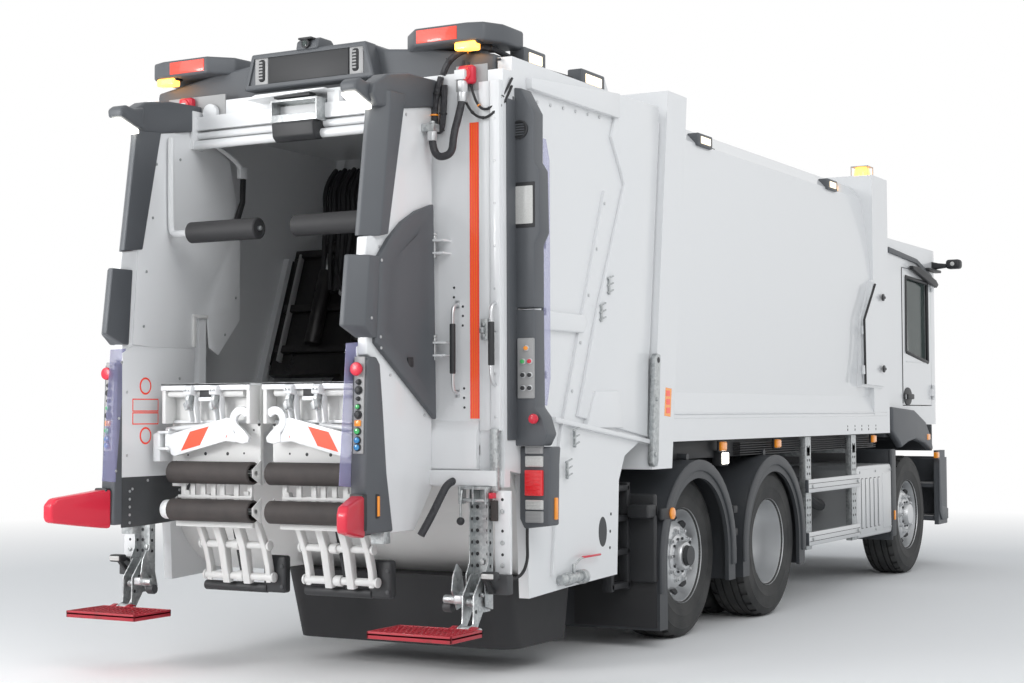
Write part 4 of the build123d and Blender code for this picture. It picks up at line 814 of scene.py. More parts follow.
def makeShield(side):
    inner, outer, face = side * shield["inner"], side * shield["outer"], side * shield["coverFace"]
    made = [cutout("white", "y", shield["white"], inner, outer, 0.007, 3)]
    made.append(edgeMoulding("charcoal", shield["upperEdge"], side, -2.94))
    made.append(edgeMoulding("charcoal", shield["lowerEdge"], side, -3.10))
    cover = cutout("charcoal", "y", shield["cover"], outer - side * 0.002, face, 0.008, 3)
    facesEdited(cover, largest("y", side))
    bpy.ops.mesh.inset(thickness=0.060)
    bpy.ops.mesh.inset(thickness=0.055, depth=-0.026)
    bpy.ops.object.mode_set(mode="OBJECT")
    made.append(cover)
    made.append(cutout("black", "y", [(-2.715, 1.655), (-2.665, 1.658), (-2.668, 1.708), (-2.718, 1.705)],
        face - side * 0.02, face - side * 0.010, 0.004))
    made.append(bolts("silver", [(x, outer, z) for x, z in shield["screws"]], "y", 0.008, side * 0.005, 10))
    made.append(bolts("silver", [(x, face - side * 0.001, z) for x, z in shield["coverScrews"]], "y", 0.008,
        side * 0.005, 10))
    # hood over the top, with the lamp cap at its rear end
    hood = [(-2.42, 3.03), (-2.53, 3.015), (-2.76, 2.975), (-2.98, 2.955), (-3.03, 3.01), (-3.02, 3.06),
        (-2.90, 3.13), (-2.70, 3.165), (-2.42, 3.175)]
    made.append(cutout("charcoal", "y", hood, side * 0.742, side * 0.835, 0.012, 3))
    made.append(cutout("charcoal", "y", [(-2.96, 2.965), (-3.02, 2.975), (-3.135, 3.015), (-3.140, 3.055),
        (-3.10, 3.082), (-3.03, 3.070), (-2.95, 3.09)], side * 0.705, side * 0.805, 0.014, 3))
    made.append(cutout("whiteLit", "y", [(-2.985, 2.940), (-3.132, 2.990), (-3.136, 3.008), (-2.985, 2.962)],
        side * 0.715, side * 0.796, 0.005))
    # hinges between the shield's front edge and the wall
    for low in (1.716, 2.250):
        for z in (low, low + 0.066):
            made.append(slab("white", (-2.50, side * 0.80, z), (-2.418, side * 0.915, z + 0.010), 0.002))
        made.append(bar("zinc", (-2.475, side * 0.845, low - 0.02), (-2.475, side * 0.845, low + 0.098),
            0.011, 0.002, 16))
        made.append(bolts("zinc", [(-2.475, side * 0.845, low + 0.076), (-2.475, side * 0.845, low + 0.098)],
            "z", 0.017, 0.012))
        made.append(slab("zinc", (-2.50, side * 0.812, low - 0.005), (-2.455, side * 0.835, low + 0.08),
            0.003))
    made.append(slab("zinc", (-2.56, side * 0.82, 2.885), (-2.50, side * 0.895, 2.925), 0.003))
    made.append(bolts("zinc", [(-2.53, side * 0.868, 2.925)], "z", 0.018, 0.014))
    # steel inside the lower half
    made.append(cutout("chassis", "y", shield["steelLow"], side * 0.752, inner + side * 0.004, 0.003))
    made.append(cutout("white", "y", shield["whiteLow"], side * 0.753, inner + side * 0.004, 0.002))
    rivets = [(-3.006, 0.84 + 0.042 * number) for number in range(5)] + [(-2.985, 1.02), (-2.862, 1.062),
        (-3.032, 1.54), (-3.03, 1.20), (-2.60, 1.62), (-2.60, 1.0)]
    made.append(bolts("silver", [(x, side * 0.752, z) for x, z in rivets], "y", 0.008, -side * 0.004, 10))
    return made


def makeControls(side):  # the box on the lower rear edge with its row of buttons
    made = [cutout("charcoal", "y", shield["box"], side * 0.757, side * shield["coverFace"], 0.012, 3)]
    slope = Matrix.Rotation(math.atan2(0.029, 0.835), 4, "Y")
    parts = [slab("panel", (-0.004, -0.030, -0.238), (0.006, 0.030, 0.238), 0.004)]
    caps = (("red", 0.176, 0.0), ("black", 0.113, 0.013), ("black", 0.073, 0.019), ("black", 0.031, 0.010),
        ("greenCap", -0.008, 0.013), ("black", -0.047, 0.019), ("amber", -0.089, 0.0),
        ("greenCap", -0.128, 0.017), ("blueCap", -0.172, 0.017), ("blueCap", -0.207, 0.017))
    for finish, height, radius in caps:
        if finish == "red":
            parts.append(bar("black", (-0.020, 0, height), (0, 0, height), 0.022, 0.003))
            parts.append(bar("red", (-0.042, 0, height), (-0.018, 0, height), 0.034, 0.010, 32))
        elif finish == "amber":
            parts.append(slab(finish, (-0.016, -0.017, height - 0.015), (0, 0.017, height + 0.015), 0.004))
        else:
            parts.append(bar("black", (-0.010, 0, height), (0, 0, height), radius * 1.15, 0.002))
            parts.append(bar(finish, (-0.022, 0, height), (-0.008, 0, height), radius * 0.85, 0.004))
    strip = joinUp(parts)
    strip.matrix_world = Matrix.Translation((-3.1095, side * 0.803, 1.462)) @ slope
    made.append(settle(strip))
    made.append(slab("black", (-3.035, side * 0.848, 0.905), (-3.005, side * 0.856, 1.025), 0.006))
    made.append(slab("amber", (-3.030, side * 0.853, 0.915), (-3.010, side * 0.862, 1.015), 0.006, 3))
    made.append(slab("zinc", (-2.96, side * 0.77, 0.775), (-2.90, side * 0.85, 0.835), 0.004))
    return made


everyShield = []
for side in (-1, 1):
    everyShield += makeShield(side) + makeControls(side)
fit("shields", everyShield, "tailgate", ["portal", "dark_covers"])


def makeFlaps():  # clear flaps beside the shields and the lamp columns
    made = []
    for side in (-1, 1):
        edge = [(-3.035, 1.775), (-3.155, 1.765), (-3.215, 1.07), (-3.11, 1.06)]
        made.append(cutout("flap", "y", edge, side * 0.7560, side * 0.7585, 0.0008, 1))
        tall = [(-2.19, 1.462), (-2.16, 1.458), (-2.12, 1.60), (-2.12, 2.75), (-2.16, 2.858), (-2.19, 2.858)]
        made.append(cutout("flap", "y", tall, side * 1.338, side * 1.342, 0.0008, 1))
        for level in (1.62, 1.95, 2.30, 2.68):
            made.append(slab("charcoal", (-2.20, side * 1.330, level - 0.02),
                (-2.155, side * 1.338, level + 0.02), 0.003))
        made.append(bolts("silver", [(-3.07, side * 0.756, 1.70), (-3.09, side * 0.756, 1.40),
            (-3.11, side * 0.756, 1.12)], "y", 0.008, -side * 0.004, 10))
    fit("clearFlaps", made, "tailgate", ["clear_flaps"])


def makePaddles():
    made = []
    for side in (-1, 1):
        outline = [(-3.128, 0.815), (-3.30, 0.838), (-3.43, 0.858), (-3.440, 0.885), (-3.440, 0.950),
            (-3.41, 0.985), (-3.128, 1.025)]
        paddle = cutout("red", "y", outline, side * 0.768, side * 0.852, 0)
        for vertex in paddle.data.vertices:  # it leans outwards and gets thinner
            share = (-3.128 - vertex.co.x) / 0.312
            vertex.co.y += side * share * (0.130 if abs(vertex.co.y) < 0.8 else 0.108)
        made.append(rounded(paddle, 0.014, 4, 25))
        made.append(slab("black", (-3.16, side * 0.78, 0.85), (-3.12, side * 0.86, 1.03), 0.006))
    fit("paddles", made, "tailgate", ["paddles"])


makeFlaps()
makePaddles()
print("shields made")
# ---- bin lifters and their swing arms
lifter = {
    "inner": 0.04, "outer": 0.64, "plateRear": -2.79, "plateFront": -2.762, "top": 1.585, "railRear": -2.888,
    "rollerAt": -2.83, "rollers": (0.907, 1.108), "rollerRadius": 0.060,
        "combs": {1: (0.265, 0.437), -1: (0.224, 0.399)},
    "fork": [(-2.800, 1.010), (-2.765, 1.010), (-2.700, 0.880), (-2.640, 0.780), (-2.596, 0.690),
        (-2.570, 0.600), (-2.558, 0.535), (-2.600, 0.510), (-2.612, 0.600), (-2.640, 0.690), (-2.690, 0.790),
        (-2.750, 0.890)],
    "arm": [(-2.52, 1.526), (-2.53, 1.434), (-2.76, 1.30), (-2.775, 1.32), (-2.775, 1.57), (-2.74, 1.582)],
}


def makeLifter(sideName, side):
    inner, outer = side * lifter["inner"], side * lifter["outer"]
    rear, front = lifter["plateRear"], lifter["plateFront"]
    top, middle = lifter["top"], side * 0.34
    sheet = [(0.04, top), (0.64, top), (0.64, 1.03), (0.56, 1.03), (0.54, 1.05), (0.16, 1.05), (0.14, 1.055),
        (0.12, 1.045), (0.04, 1.045)]
    made = [cutout("hopper", "x", [(side * y, z) for y, z in sheet], rear, front, 0.003)]
    for low, high, near, far in ((top - 0.013, top, lifter["railRear"], front),
            (1.548, top, lifter["railRear"], lifter["railRear"] + 0.012),
            (1.372, 1.388, rear - 0.022, rear + 0.002)):
        made.append(slab("white", (near, inner, low), (far, outer, high), 0.003))
    made.append(bar("hopper", (-2.845, side * 0.10, 1.532), (-2.845, side * 0.615, 1.532), 0.020))
    for y in (0.055, 0.625):
        made.append(slab("hopper", (-2.88, side * (y - 0.012), 1.37), (rear, side * (y + 0.012), 1.575),
            0.004))
    made.append(slab("black", (-2.868, middle - 0.05, 1.505), (-2.835, middle + 0.05, 1.552), 0.004))
    made.append(slab("white", (-2.872, middle - 0.055, 1.490), (-2.83, middle + 0.055, 1.512), 0.004))
    for y in lifter["combs"][side]:  # combs: a white cap, a steel claw and a white leg
        cap = [(-2.835, 1.575), (-2.898, 1.575), (-2.915, 1.560), (-2.915, 1.525), (-2.88, 1.520),
            (-2.835, 1.52)]
        made.append(cutout("white", "y", cap, side * (y - 0.026), side * (y + 0.026), 0.007, 3))
        claw = [(-2.86, 1.53), (-2.905, 1.53), (-2.917, 1.50), (-2.905, 1.46), (-2.875, 1.438),
            (-2.885, 1.47), (-2.87, 1.49)]
        made.append(cutout("zinc", "y", claw, side * y - 0.012, side * y + 0.012, 0.003))
        made.append(cutout("zinc", "x", [(side * y + 0.014, 1.50), (side * y + 0.045, 1.475),
            (side * y + 0.03, 1.44), (side * y + 0.012, 1.45)], -2.895, -2.875, 0.003))
        leg = [(-2.84, 1.53), (-2.872, 1.53), (-2.880, 1.45), (-2.862, 1.38), (-2.83, 1.375), (-2.835, 1.45)]
        for shift in (-0.020, 0.020):
            made.append(cutout("white", "y", leg, side * y + shift - 0.005, side * y + shift + 0.005, 0.002))
        made.append(bolts("zinc", [(-2.874, side * y - 0.010, 1.548), (-2.874, side * y + 0.012, 1.548)], "x",
            0.006, -0.05, 10))
    holes = [(0.05, 1.365), (0.085, 1.335), (0.075, 1.142), (0.075, 1.118), (0.075, 1.078), (0.41, 1.208),
        (0.26, 1.209), (0.15, 1.212), (0.53, 1.20)]
    for number, (y, z) in enumerate(holes):
        radius = 0.0095 if number in (0, 5, 6) else 0.006
        made.append(bolts("black", [(rear + 0.001, side * y, z)], "x", radius, -0.002, 14))
    # rollers between end plates
    for number, z in enumerate(lifter["rollers"]):
        radius = lifter["rollerRadius"]
        skin = [(radius - 0.004, 0.0), (radius, 0.004), (radius, 0.275), (radius, 0.545),
            (radius - 0.004, 0.549), (radius - 0.012, 0.549), (radius - 0.014, 0.50), (0.016, 0.50),
            (0.016, 0.05), (radius - 0.014, 0.05), (radius - 0.012, 0.0)]
        profile = [(along, side * (0.055 + across)) for along, across in skin]
        made.append(turned("roller", (lifter["rollerAt"], 0, z), "y", profile, 40))
        made.append(bar("hopper", (lifter["rollerAt"], inner, z), (lifter["rollerAt"], side * 0.63, z), 0.015,
            0.002))
        made.append(bolts("zinc", [(lifter["rollerAt"], side * 0.049, z)], "y", 0.017, side * 0.055))
        for y in (0.044, 0.612):
            ear = [(lifter["rollerAt"] - 0.028, z + 0.02), (lifter["rollerAt"] - 0.028, z - 0.02),
                (rear + 0.01, z - 0.065), (rear + 0.01, z + 0.07)]
            made.append(cutout("hopper", "y", ear, side * (y - 0.004), side * (y + 0.004), 0.002))
    cap = bar("white", (lifter["rollerAt"], side * 0.606, lifter["rollers"][0]),
        (lifter["rollerAt"], side * 0.655, lifter["rollers"][0]), 0.052, 0.010, 36)
    made.append(cap)
    # slats behind the rollers, fork bars and cross tubes
    for y in (0.115, 0.205, 0.30, 0.36, 0.43, 0.50, 0.565):
        made.append(slab("hopper", (rear + 0.004, side * (y - 0.016), 0.82),
            (rear + 0.016, side * (y + 0.016), 1.06), 0.002))
    made.append(slab("hopper", (rear, side * 0.10, 0.968), (rear + 0.02, side * 0.60, 0.985), 0.002))
    made.append(slab("hopper", (rear - 0.004, side * 0.09, 0.815), (rear + 0.02, side * 0.61, 0.845), 0.003))
    for y in (0.133, 0.533):
        made.append(cutout("hopper", "y", lifter["fork"], side * (y - 0.016), side * (y + 0.016), 0.004))
    for y in (0.27, 0.41):
        made.append(cutout("hopper", "y", [(-2.79, 0.99), (-2.74, 0.99), (-2.60, 0.70), (-2.57, 0.505),
            (-2.61, 0.500), (-2.655, 0.70)], side * (y - 0.022), side * (y + 0.022), 0.004))
    for x, z in ((-2.625, 0.713), (-2.588, 0.540)):
        made.append(bar("hopper", (x, side * 0.108, z), (x, side * 0.562, z), 0.021, 0.003))
        made.append(bar("hopper", (x, side * 0.30, z), (x, side * 0.345, z), 0.029, 0.003))
        for y in (0.104, 0.566):
            made.append(bar("hopper", (x, side * (y - 0.006), z), (x, side * (y + 0.006), z), 0.027, 0.002))
    made.append(bar("black", (-2.545, middle - 0.17, 0.478), (-2.545, middle + 0.26, 0.478), 0.027, 0.008))
    made.append(slab("black", (-2.562, middle - 0.29, 0.455), (-2.505, middle - 0.145, 0.655), 0.014, 3))
    made.append(bolts("chassis", [(-2.562, middle - 0.27, 0.49), (-2.562, middle - 0.27, 0.60)], "x", 0.011,
        -0.006, 12))
    made.append(bar("black", (-2.60, middle + 0.02, 0.80), (-2.565, middle - 0.02, 0.50), 0.012, 0.002))
    # arms to the pivot shaft, and the bracket of the swing arm
    for y in (0.078, 0.602):
        made.append(cutout("hopper", "y", lifter["arm"], side * (y - 0.018), side * (y + 0.018), 0.004))
        ring = [(0.0245, -0.019), (0.046, -0.019), (0.046, 0.019), (0.0245, 0.019)]
        made.append(turned("hopper", (-2.52, side * y, 1.48), "y", ring, 32))
    for z in (1.228, 1.3165):
        made.append(slab("white", (-2.885, side * 0.588, z), (rear + 0.01, side * 0.665, z + 0.015), 0.004))
    made.append(bar("zinc", (-2.85, side * 0.61, 1.215), (-2.85, side * 0.61, 1.345), 0.0115, 0.002))
    bracket = [(0.652, 1.165), (0.700, 1.165), (0.700, 1.315), (0.652, 1.33)]
    made.append(cutout("white", "x", [(side * y, z) for y, z in bracket], -2.88, -2.79, 0.006))
    made.append(bar("white", (-2.812, side * 0.66, 1.335), (-2.812, side * 0.36, 1.362), 0.015, 0.003))
    return fit(f"lifter{sideName.title()}", made, f"lifter_{sideName}", [f"lifter_{sideName}"])


def makeSwingArm(sideName, side):
    outline = [(0.600, 1.252), (0.586, 1.205), (0.560, 1.195), (0.215, 1.278), (0.150, 1.272), (0.115, 1.285),
        (0.110, 1.300), (0.150, 1.312), (0.168, 1.34), (0.166, 1.372), (0.150, 1.392), (0.205, 1.402),
        (0.560, 1.322), (0.600, 1.310)]
    made = [cutout("white", "x", [(side * y, z) for y, z in outline], -2.868, -2.842, 0.004)]
    hook = []
    for number in range(15):
        angle = math.radians(-60 + 15 * number)
        hook.append((0.112 + 0.073 * math.cos(angle), 1.388 + 0.073 * math.sin(angle)))
    for number in range(14, -1, -1):
        angle = math.radians(-60 + 15 * number)
        hook.append((0.112 + 0.030 * math.cos(angle), 1.388 + 0.030 * math.sin(angle)))
    hook += [(0.085, 1.33), (0.055, 1.298), (0.062, 1.272), (0.10, 1.265), (0.15, 1.275)]
    made.append(cutout("white", "x", [(side * y, z) for y, z in hook], -2.872, -2.850, 0.004))
    sticker = [(0.555, 1.215), (0.205, 1.298), (0.185, 1.388), (0.535, 1.308)]
    made.append(cutout("stripes", "x", [(side * y, z) for y, z in sticker], -2.868, -2.8695, 0))
    made.append(bar("white", (-2.85, side * 0.61, 1.2445), (-2.85, side * 0.61, 1.3155), 0.024, 0.003))
    made.append(bolts("zinc", [(-2.842, side * y, z) for y, z in ((0.56, 1.26), (0.40, 1.30), (0.25, 1.34))],
        "x", 0.010, 0.006))
    return fit(f"swingArm{sideName.title()}", made, f"swing_arm_{sideName}", [f"swing_arm_{sideName}"])


for sideName, side in sides.items():
    makeLifter(sideName, side)
    makeSwingArm(sideName, side)
print("lifters made")


# ---- stop rollers, their tube frames and the plates inside the shields
stop = {"at": (-2.70, 2.42), "radius": 0.058, "inner": 0.12, "outer": 0.59}


def makeStops():
    made = []
    behind, height = stop["at"]
    for side in (-1, 1):
        near, far, radius = stop["inner"], stop["outer"], stop["radius"]
        skin = [(0.014, near + 0.004), (radius - 0.018, near + 0.004), (radius - 0.016, near),
            (radius - 0.006, near), (radius, near + 0.006), (radius, far - 0.006), (radius - 0.006, far),
            (0.02, far)]
        made.append(turned("rubber", (behind, 0, height), "y",
            [(along, side * across) for along, across in skin], 40))
        made.append(bar("zinc", (behind, side * (near - 0.012), height),
            (behind, side * (near + 0.01), height), 0.014, 0.003, 6))
        made.append(tube("white", [(behind, side * 0.57, height), (behind, side * 0.66, height),
            (behind, side * 0.722, height), (behind - 0.005, side * 0.726, height + 0.06),
            (behind - 0.01, side * 0.726, 2.75), (behind - 0.01, side * 0.726, 2.955)], 0.019, 12))
        made.append(tube("white", [(-2.40, side * 0.728, 2.99), (-2.20, side * 0.728, 2.93),
            (-2.08, side * 0.728, 2.865), (-2.058, side * 0.728, 2.82)], 0.014, 10))
        strip = [(-2.075, 2.815), (-2.045, 2.80), (-2.052, 2.66), (-2.10, 2.55), (-2.17, 2.46),
            (-2.19, 2.475), (-2.125, 2.57), (-2.08, 2.67)]
        made.append(cutout("rubber", "y", strip, side * 0.718, side * 0.742, 0.004))
        made.append(slab("white", (-2.10, side * 0.715, 2.80), (-2.035, side * 0.748, 2.87), 0.006))
        inside = [(-2.743, 3.005), (-2.899, 2.945), (-2.952, 2.195), (-2.985, 1.80), (-2.86, 1.79),
            (-2.477, 1.79), (-2.462, 1.982), (-2.36, 1.988), (-2.34, 1.80), (-2.258, 1.76), (-2.06, 1.969),
            (-2.06, 2.53), (-2.16, 2.90), (-2.35, 2.97)]
        made.append(cutout("white", "y", inside, side * 0.7525, side * 0.7595, 0.002))
        made.append(slab("hopper", (-2.49, side * 0.742, 1.80), (-2.465, side * 0.753, 1.975), 0.003))
        made.append(slab("hopper", (-2.49, side * 0.742, 1.965), (-2.36, side * 0.753, 1.985), 0.003))
        made.append(bolts("zinc", [(x, side * 0.7525, z) for x,
            z in ((-2.80, 2.80), (-2.83, 2.50), (-2.10, 2.10), (-2.20, 1.88), (-2.88, 2.20), (-2.90, 1.90),
            (-2.60, 2.85))], "y", 0.008, -side * 0.004, 10))
        # bare stickers
        for x, z in ((-2.882, 1.575), (-2.880, 1.305)):
            made.append(bar("redStrip", (x, side * 0.7530, z), (x, side * 0.7515, z), 0.047, 0, 32))
            made.append(bar("white", (x, side * 0.7516, z), (x, side * 0.7508, z), 0.037, 0, 32))
        for low, high in ((1.366, 1.432), (1.436, 1.506)):
            made.append(slab("redStrip", (-2.986, side * 0.7515, low), (-2.776, side * 0.7530, high), 0.0004,
                1))
            made.append(slab("white", (-2.980, side * 0.7508, low + 0.006),
                (-2.782, side * 0.7520, high - 0.006), 0.0002, 1))
    fit("stopRollers", made, "tailgate", ["stop_rollers"])


makeStops()
print("stop rollers made")
# ---- tailgate's rear wall
wall = {"at": -2.42, "stripe": (1.030, 1.085, 1.392, 2.932), "handle": (0.956, 1.521, 1.987),
    "postHandle": (1.195, 1.56, 1.99)}


def handleOn(y, low, high, stand, radius):
    at = wall["at"]
    ends = tube("silver", [(at, y, low), (at - stand * 0.7, y, low + 0.006), (at - stand, y, low + 0.04),
        (at - stand, y, low + 0.09), (at - stand, y, (low + high) / 2), (at - stand, y, high - 0.09),
        (at - stand, y, high - 0.04), (at - stand * 0.7, y, high - 0.006), (at, y, high)], 0.0095, 12)
    grip = bar("black", (at - stand, y, low + 0.104), (at - stand, y, high - 0.103), radius, 0.004)
    feet = [slab("silver", (at - 0.004, y - 0.014, z - 0.02), (at + 0.002, y + 0.014, z + 0.02), 0.002)
        for z in (low, high)]
    return [ends, grip, *feet]


def makeWall():
    at = wall["at"]
    near, far, low, high = wall["stripe"]
    made = [slab("redStrip", (at - 0.003, near, low), (at + 0.002, far, high), 0.001, 1)]
    for number in range(3):
        y = near + (far - near) * (number + 1) / 4
        made.append(slab("amber", (at - 0.0036, y - 0.0012, low), (at, y + 0.0012, high), 0, 1))
    made += handleOn(*wall["handle"], 0.055, 0.0155)
    made += handleOn(*wall["postHandle"], 0.070, 0.0165)
    spots = [(0.933, 2.075), (0.932, 2.025), (0.986, 1.975), (0.986, 1.926), (0.985, 1.876), (0.992, 1.549),
        (0.992, 1.500), (0.994, 1.450)]
    made.append(bolts("black", [(at + 0.001, y, z) for y, z in spots], "x", 0.0065, -0.003, 14))
    # post rails with their screws, and the ledges under the wall
    for near, far, proud in ((1.091, 1.157, 0.014), (1.165, 1.222, 0.026)):
        made.append(slab("white", (at - proud, near, 1.33), (at + 0.01, far, 3.14), 0.004))
    made.append(bolts("silver", [(at - 0.026, 1.193, 1.40 + 0.22 * number) for number in range(8)], "x",
        0.007, -0.003, 10))
    made.append(bar("white", (at - 0.012, 1.161, 1.33), (at - 0.012, 1.161, 3.14), 0.004, 0))
    ledge = [(at + 0.01, 1.385), (at - 0.004, 1.378), (at - 0.040, 1.318), (at - 0.040, 1.135),
        (at - 0.030, 1.128), (at + 0.01, 1.128)]
    made.append(cutout("white", "y", ledge, 0.67, 1.086, 0.004))
    made.append(slab("white", (at - 0.062, 0.67, 1.048), (at + 0.01, 1.212, 1.127), 0.004))
    made.append(slab("hopper", (at - 0.010, 0.67, 1.20), (at + 0.01, 1.086, 1.26), 0.004))
    # catch with its bracket on the post, red lever and brown buffer
    made.append(slab("zinc", (at - 0.050, 1.120, 1.795), (at - 0.020, 1.160, 1.905), 0.005))
    made.append(bolts("zinc", [(at - 0.050, 1.140, 1.82), (at - 0.050, 1.140, 1.875)], "x", 0.012, -0.010))
    made.append(slab("zinc", (at - 0.075, 1.125, 1.83), (at - 0.045, 1.150, 1.86), 0.004))
    made.append(slab("zinc", (at - 0.080, 1.000, 1.030), (at - 0.05, 1.180, 1.046), 0.003))
    for y in (1.010, 1.09, 1.165):
        made.append(slab("zinc", (at - 0.085, y - 0.006, 0.955), (at - 0.02, y + 0.006, 1.046), 0.003))
    made.append(bar("zinc", (at - 0.070, 1.00, 0.975), (at - 0.070, 1.175, 0.975), 0.010, 0.002, 16))
    made.append(tube("zinc", [(at - 0.065, 1.02, 1.035), (at - 0.085, 1.022, 1.0), (at - 0.09, 1.022, 0.93),
        (at - 0.09, 1.022, 0.88)], 0.006, 8))
    bpy.ops.mesh.primitive_uv_sphere_add(segments=24, ring_count=16, radius=0.021,
        location=(at - 0.09, 1.022, 0.868))
    made.append(coated(settle(bpy.context.object), "black"))
    made.append(slab("red", (at - 0.075, 1.178, 0.985), (at - 0.03, 1.200, 1.015), 0.004))
    made.append(slab("zinc", (at - 0.05, 1.17, 1.02), (at - 0.01, 1.215, 1.34), 0.004))
    made.append(slab("roller", (at - 0.055, 1.176, 0.87), (at - 0.015, 1.212, 0.975), 0.005))
    # round rear lamp high on each side, on a pale plate
    piece = mirrored(joinUp(made))
    lamps = [piece]
    for y, near, far in ((0.828, 0.573, 0.985), (-1.033, -1.14, -0.95)):
        lamps.append(slab("panel", (at - 0.006, near, 3.10), (at + 0.004, far, 3.235), 0.004))
        lamps.append(slab("red", (at - 0.055, y - 0.048, 3.130), (at - 0.004, y + 0.048, 3.228), 0.018, 4))
        lamps.append(bar("redLens", (at - 0.066, y, 3.179), (at - 0.050, y, 3.179), 0.036, 0.006, 36))
        lamps.append(slab("clearLens", (at - 0.070, y - 0.018, 3.162), (at - 0.060, y + 0.018, 3.196), 0.003))
    return fit("rearWall", lamps, "tailgate")


makeWall()
print("rear wall made")


# ---- cable looms tied along the wall and the roof
looms = {
    0.017: [[(-2.440, -0.868, 3.185), (-2.452, -0.848, 3.10), (-2.452, -0.830, 2.98), (-2.450, -0.846, 2.90),
        (-2.446, -0.872, 2.90), (-2.446, -0.885, 2.98), (-2.440, -0.890, 3.14)],
        [(-2.42, -0.868, 3.20), (-2.43, -0.90, 3.27), (-2.38, -0.985, 3.335), (-2.30, -1.09, 3.350),
        (-2.15, -1.13, 3.305), (-1.80, -1.12, 3.300), (-1.45, -1.12, 3.300)]],
    0.007: [[(-2.43, -1.00, 3.26), (-2.445, -0.995, 3.16), (-2.447, -1.01, 3.06), (-2.446, -1.06, 2.975),
        (-2.447, -1.128, 2.94), (-2.45, -1.19, 2.965), (-2.40, -1.235, 3.03), (-2.34, -1.238, 3.12)],
        [(-2.43, -1.03, 3.25), (-2.447, -1.05, 3.12), (-2.447, -1.10, 3.00), (-2.448, -1.16, 2.985),
        (-2.42, -1.232, 3.05), (-2.34, -1.240, 3.16)], [(-2.36, -1.16, 3.26), (-2.20, -1.16, 3.31),
        (-1.9, -1.15, 3.30), (-1.5, -1.16, 3.312)], [(-2.42, 0.20, 3.035), (-2.44, 0.16, 2.99),
        (-2.44, 0.13, 2.96), (-2.44, 0.10, 2.99)]],
}
tied = []
for radius, routes in looms.items():
    for route in routes:
        tied.append(tube("sleeve" if radius > 0.01 else "rubber", route, radius, 8))
        for number in range(1, len(route) - 1):
            before, here, after = Vector(route[number - 1]), Vector(route[number]), Vector(route[number + 1])
            middle = before * 0.125 + here * 0.75 + after * 0.125
            away = (Vector(route[number + 1]) - Vector(route[number - 1])).normalized() * 0.004
            tied.append(bar("amber" if number == 2 else "black", middle - away, middle + away, radius * 1.3,
                0.001, 12))
fit("cableLooms", tied, "tailgate")
print("looms made")


# ---- step brackets and steps
bracket = {"front": -2.44, "hinge": (-2.63, 0.33), "holes": (0.64, 0.70, 0.76, 0.82, 0.88, 0.94)}


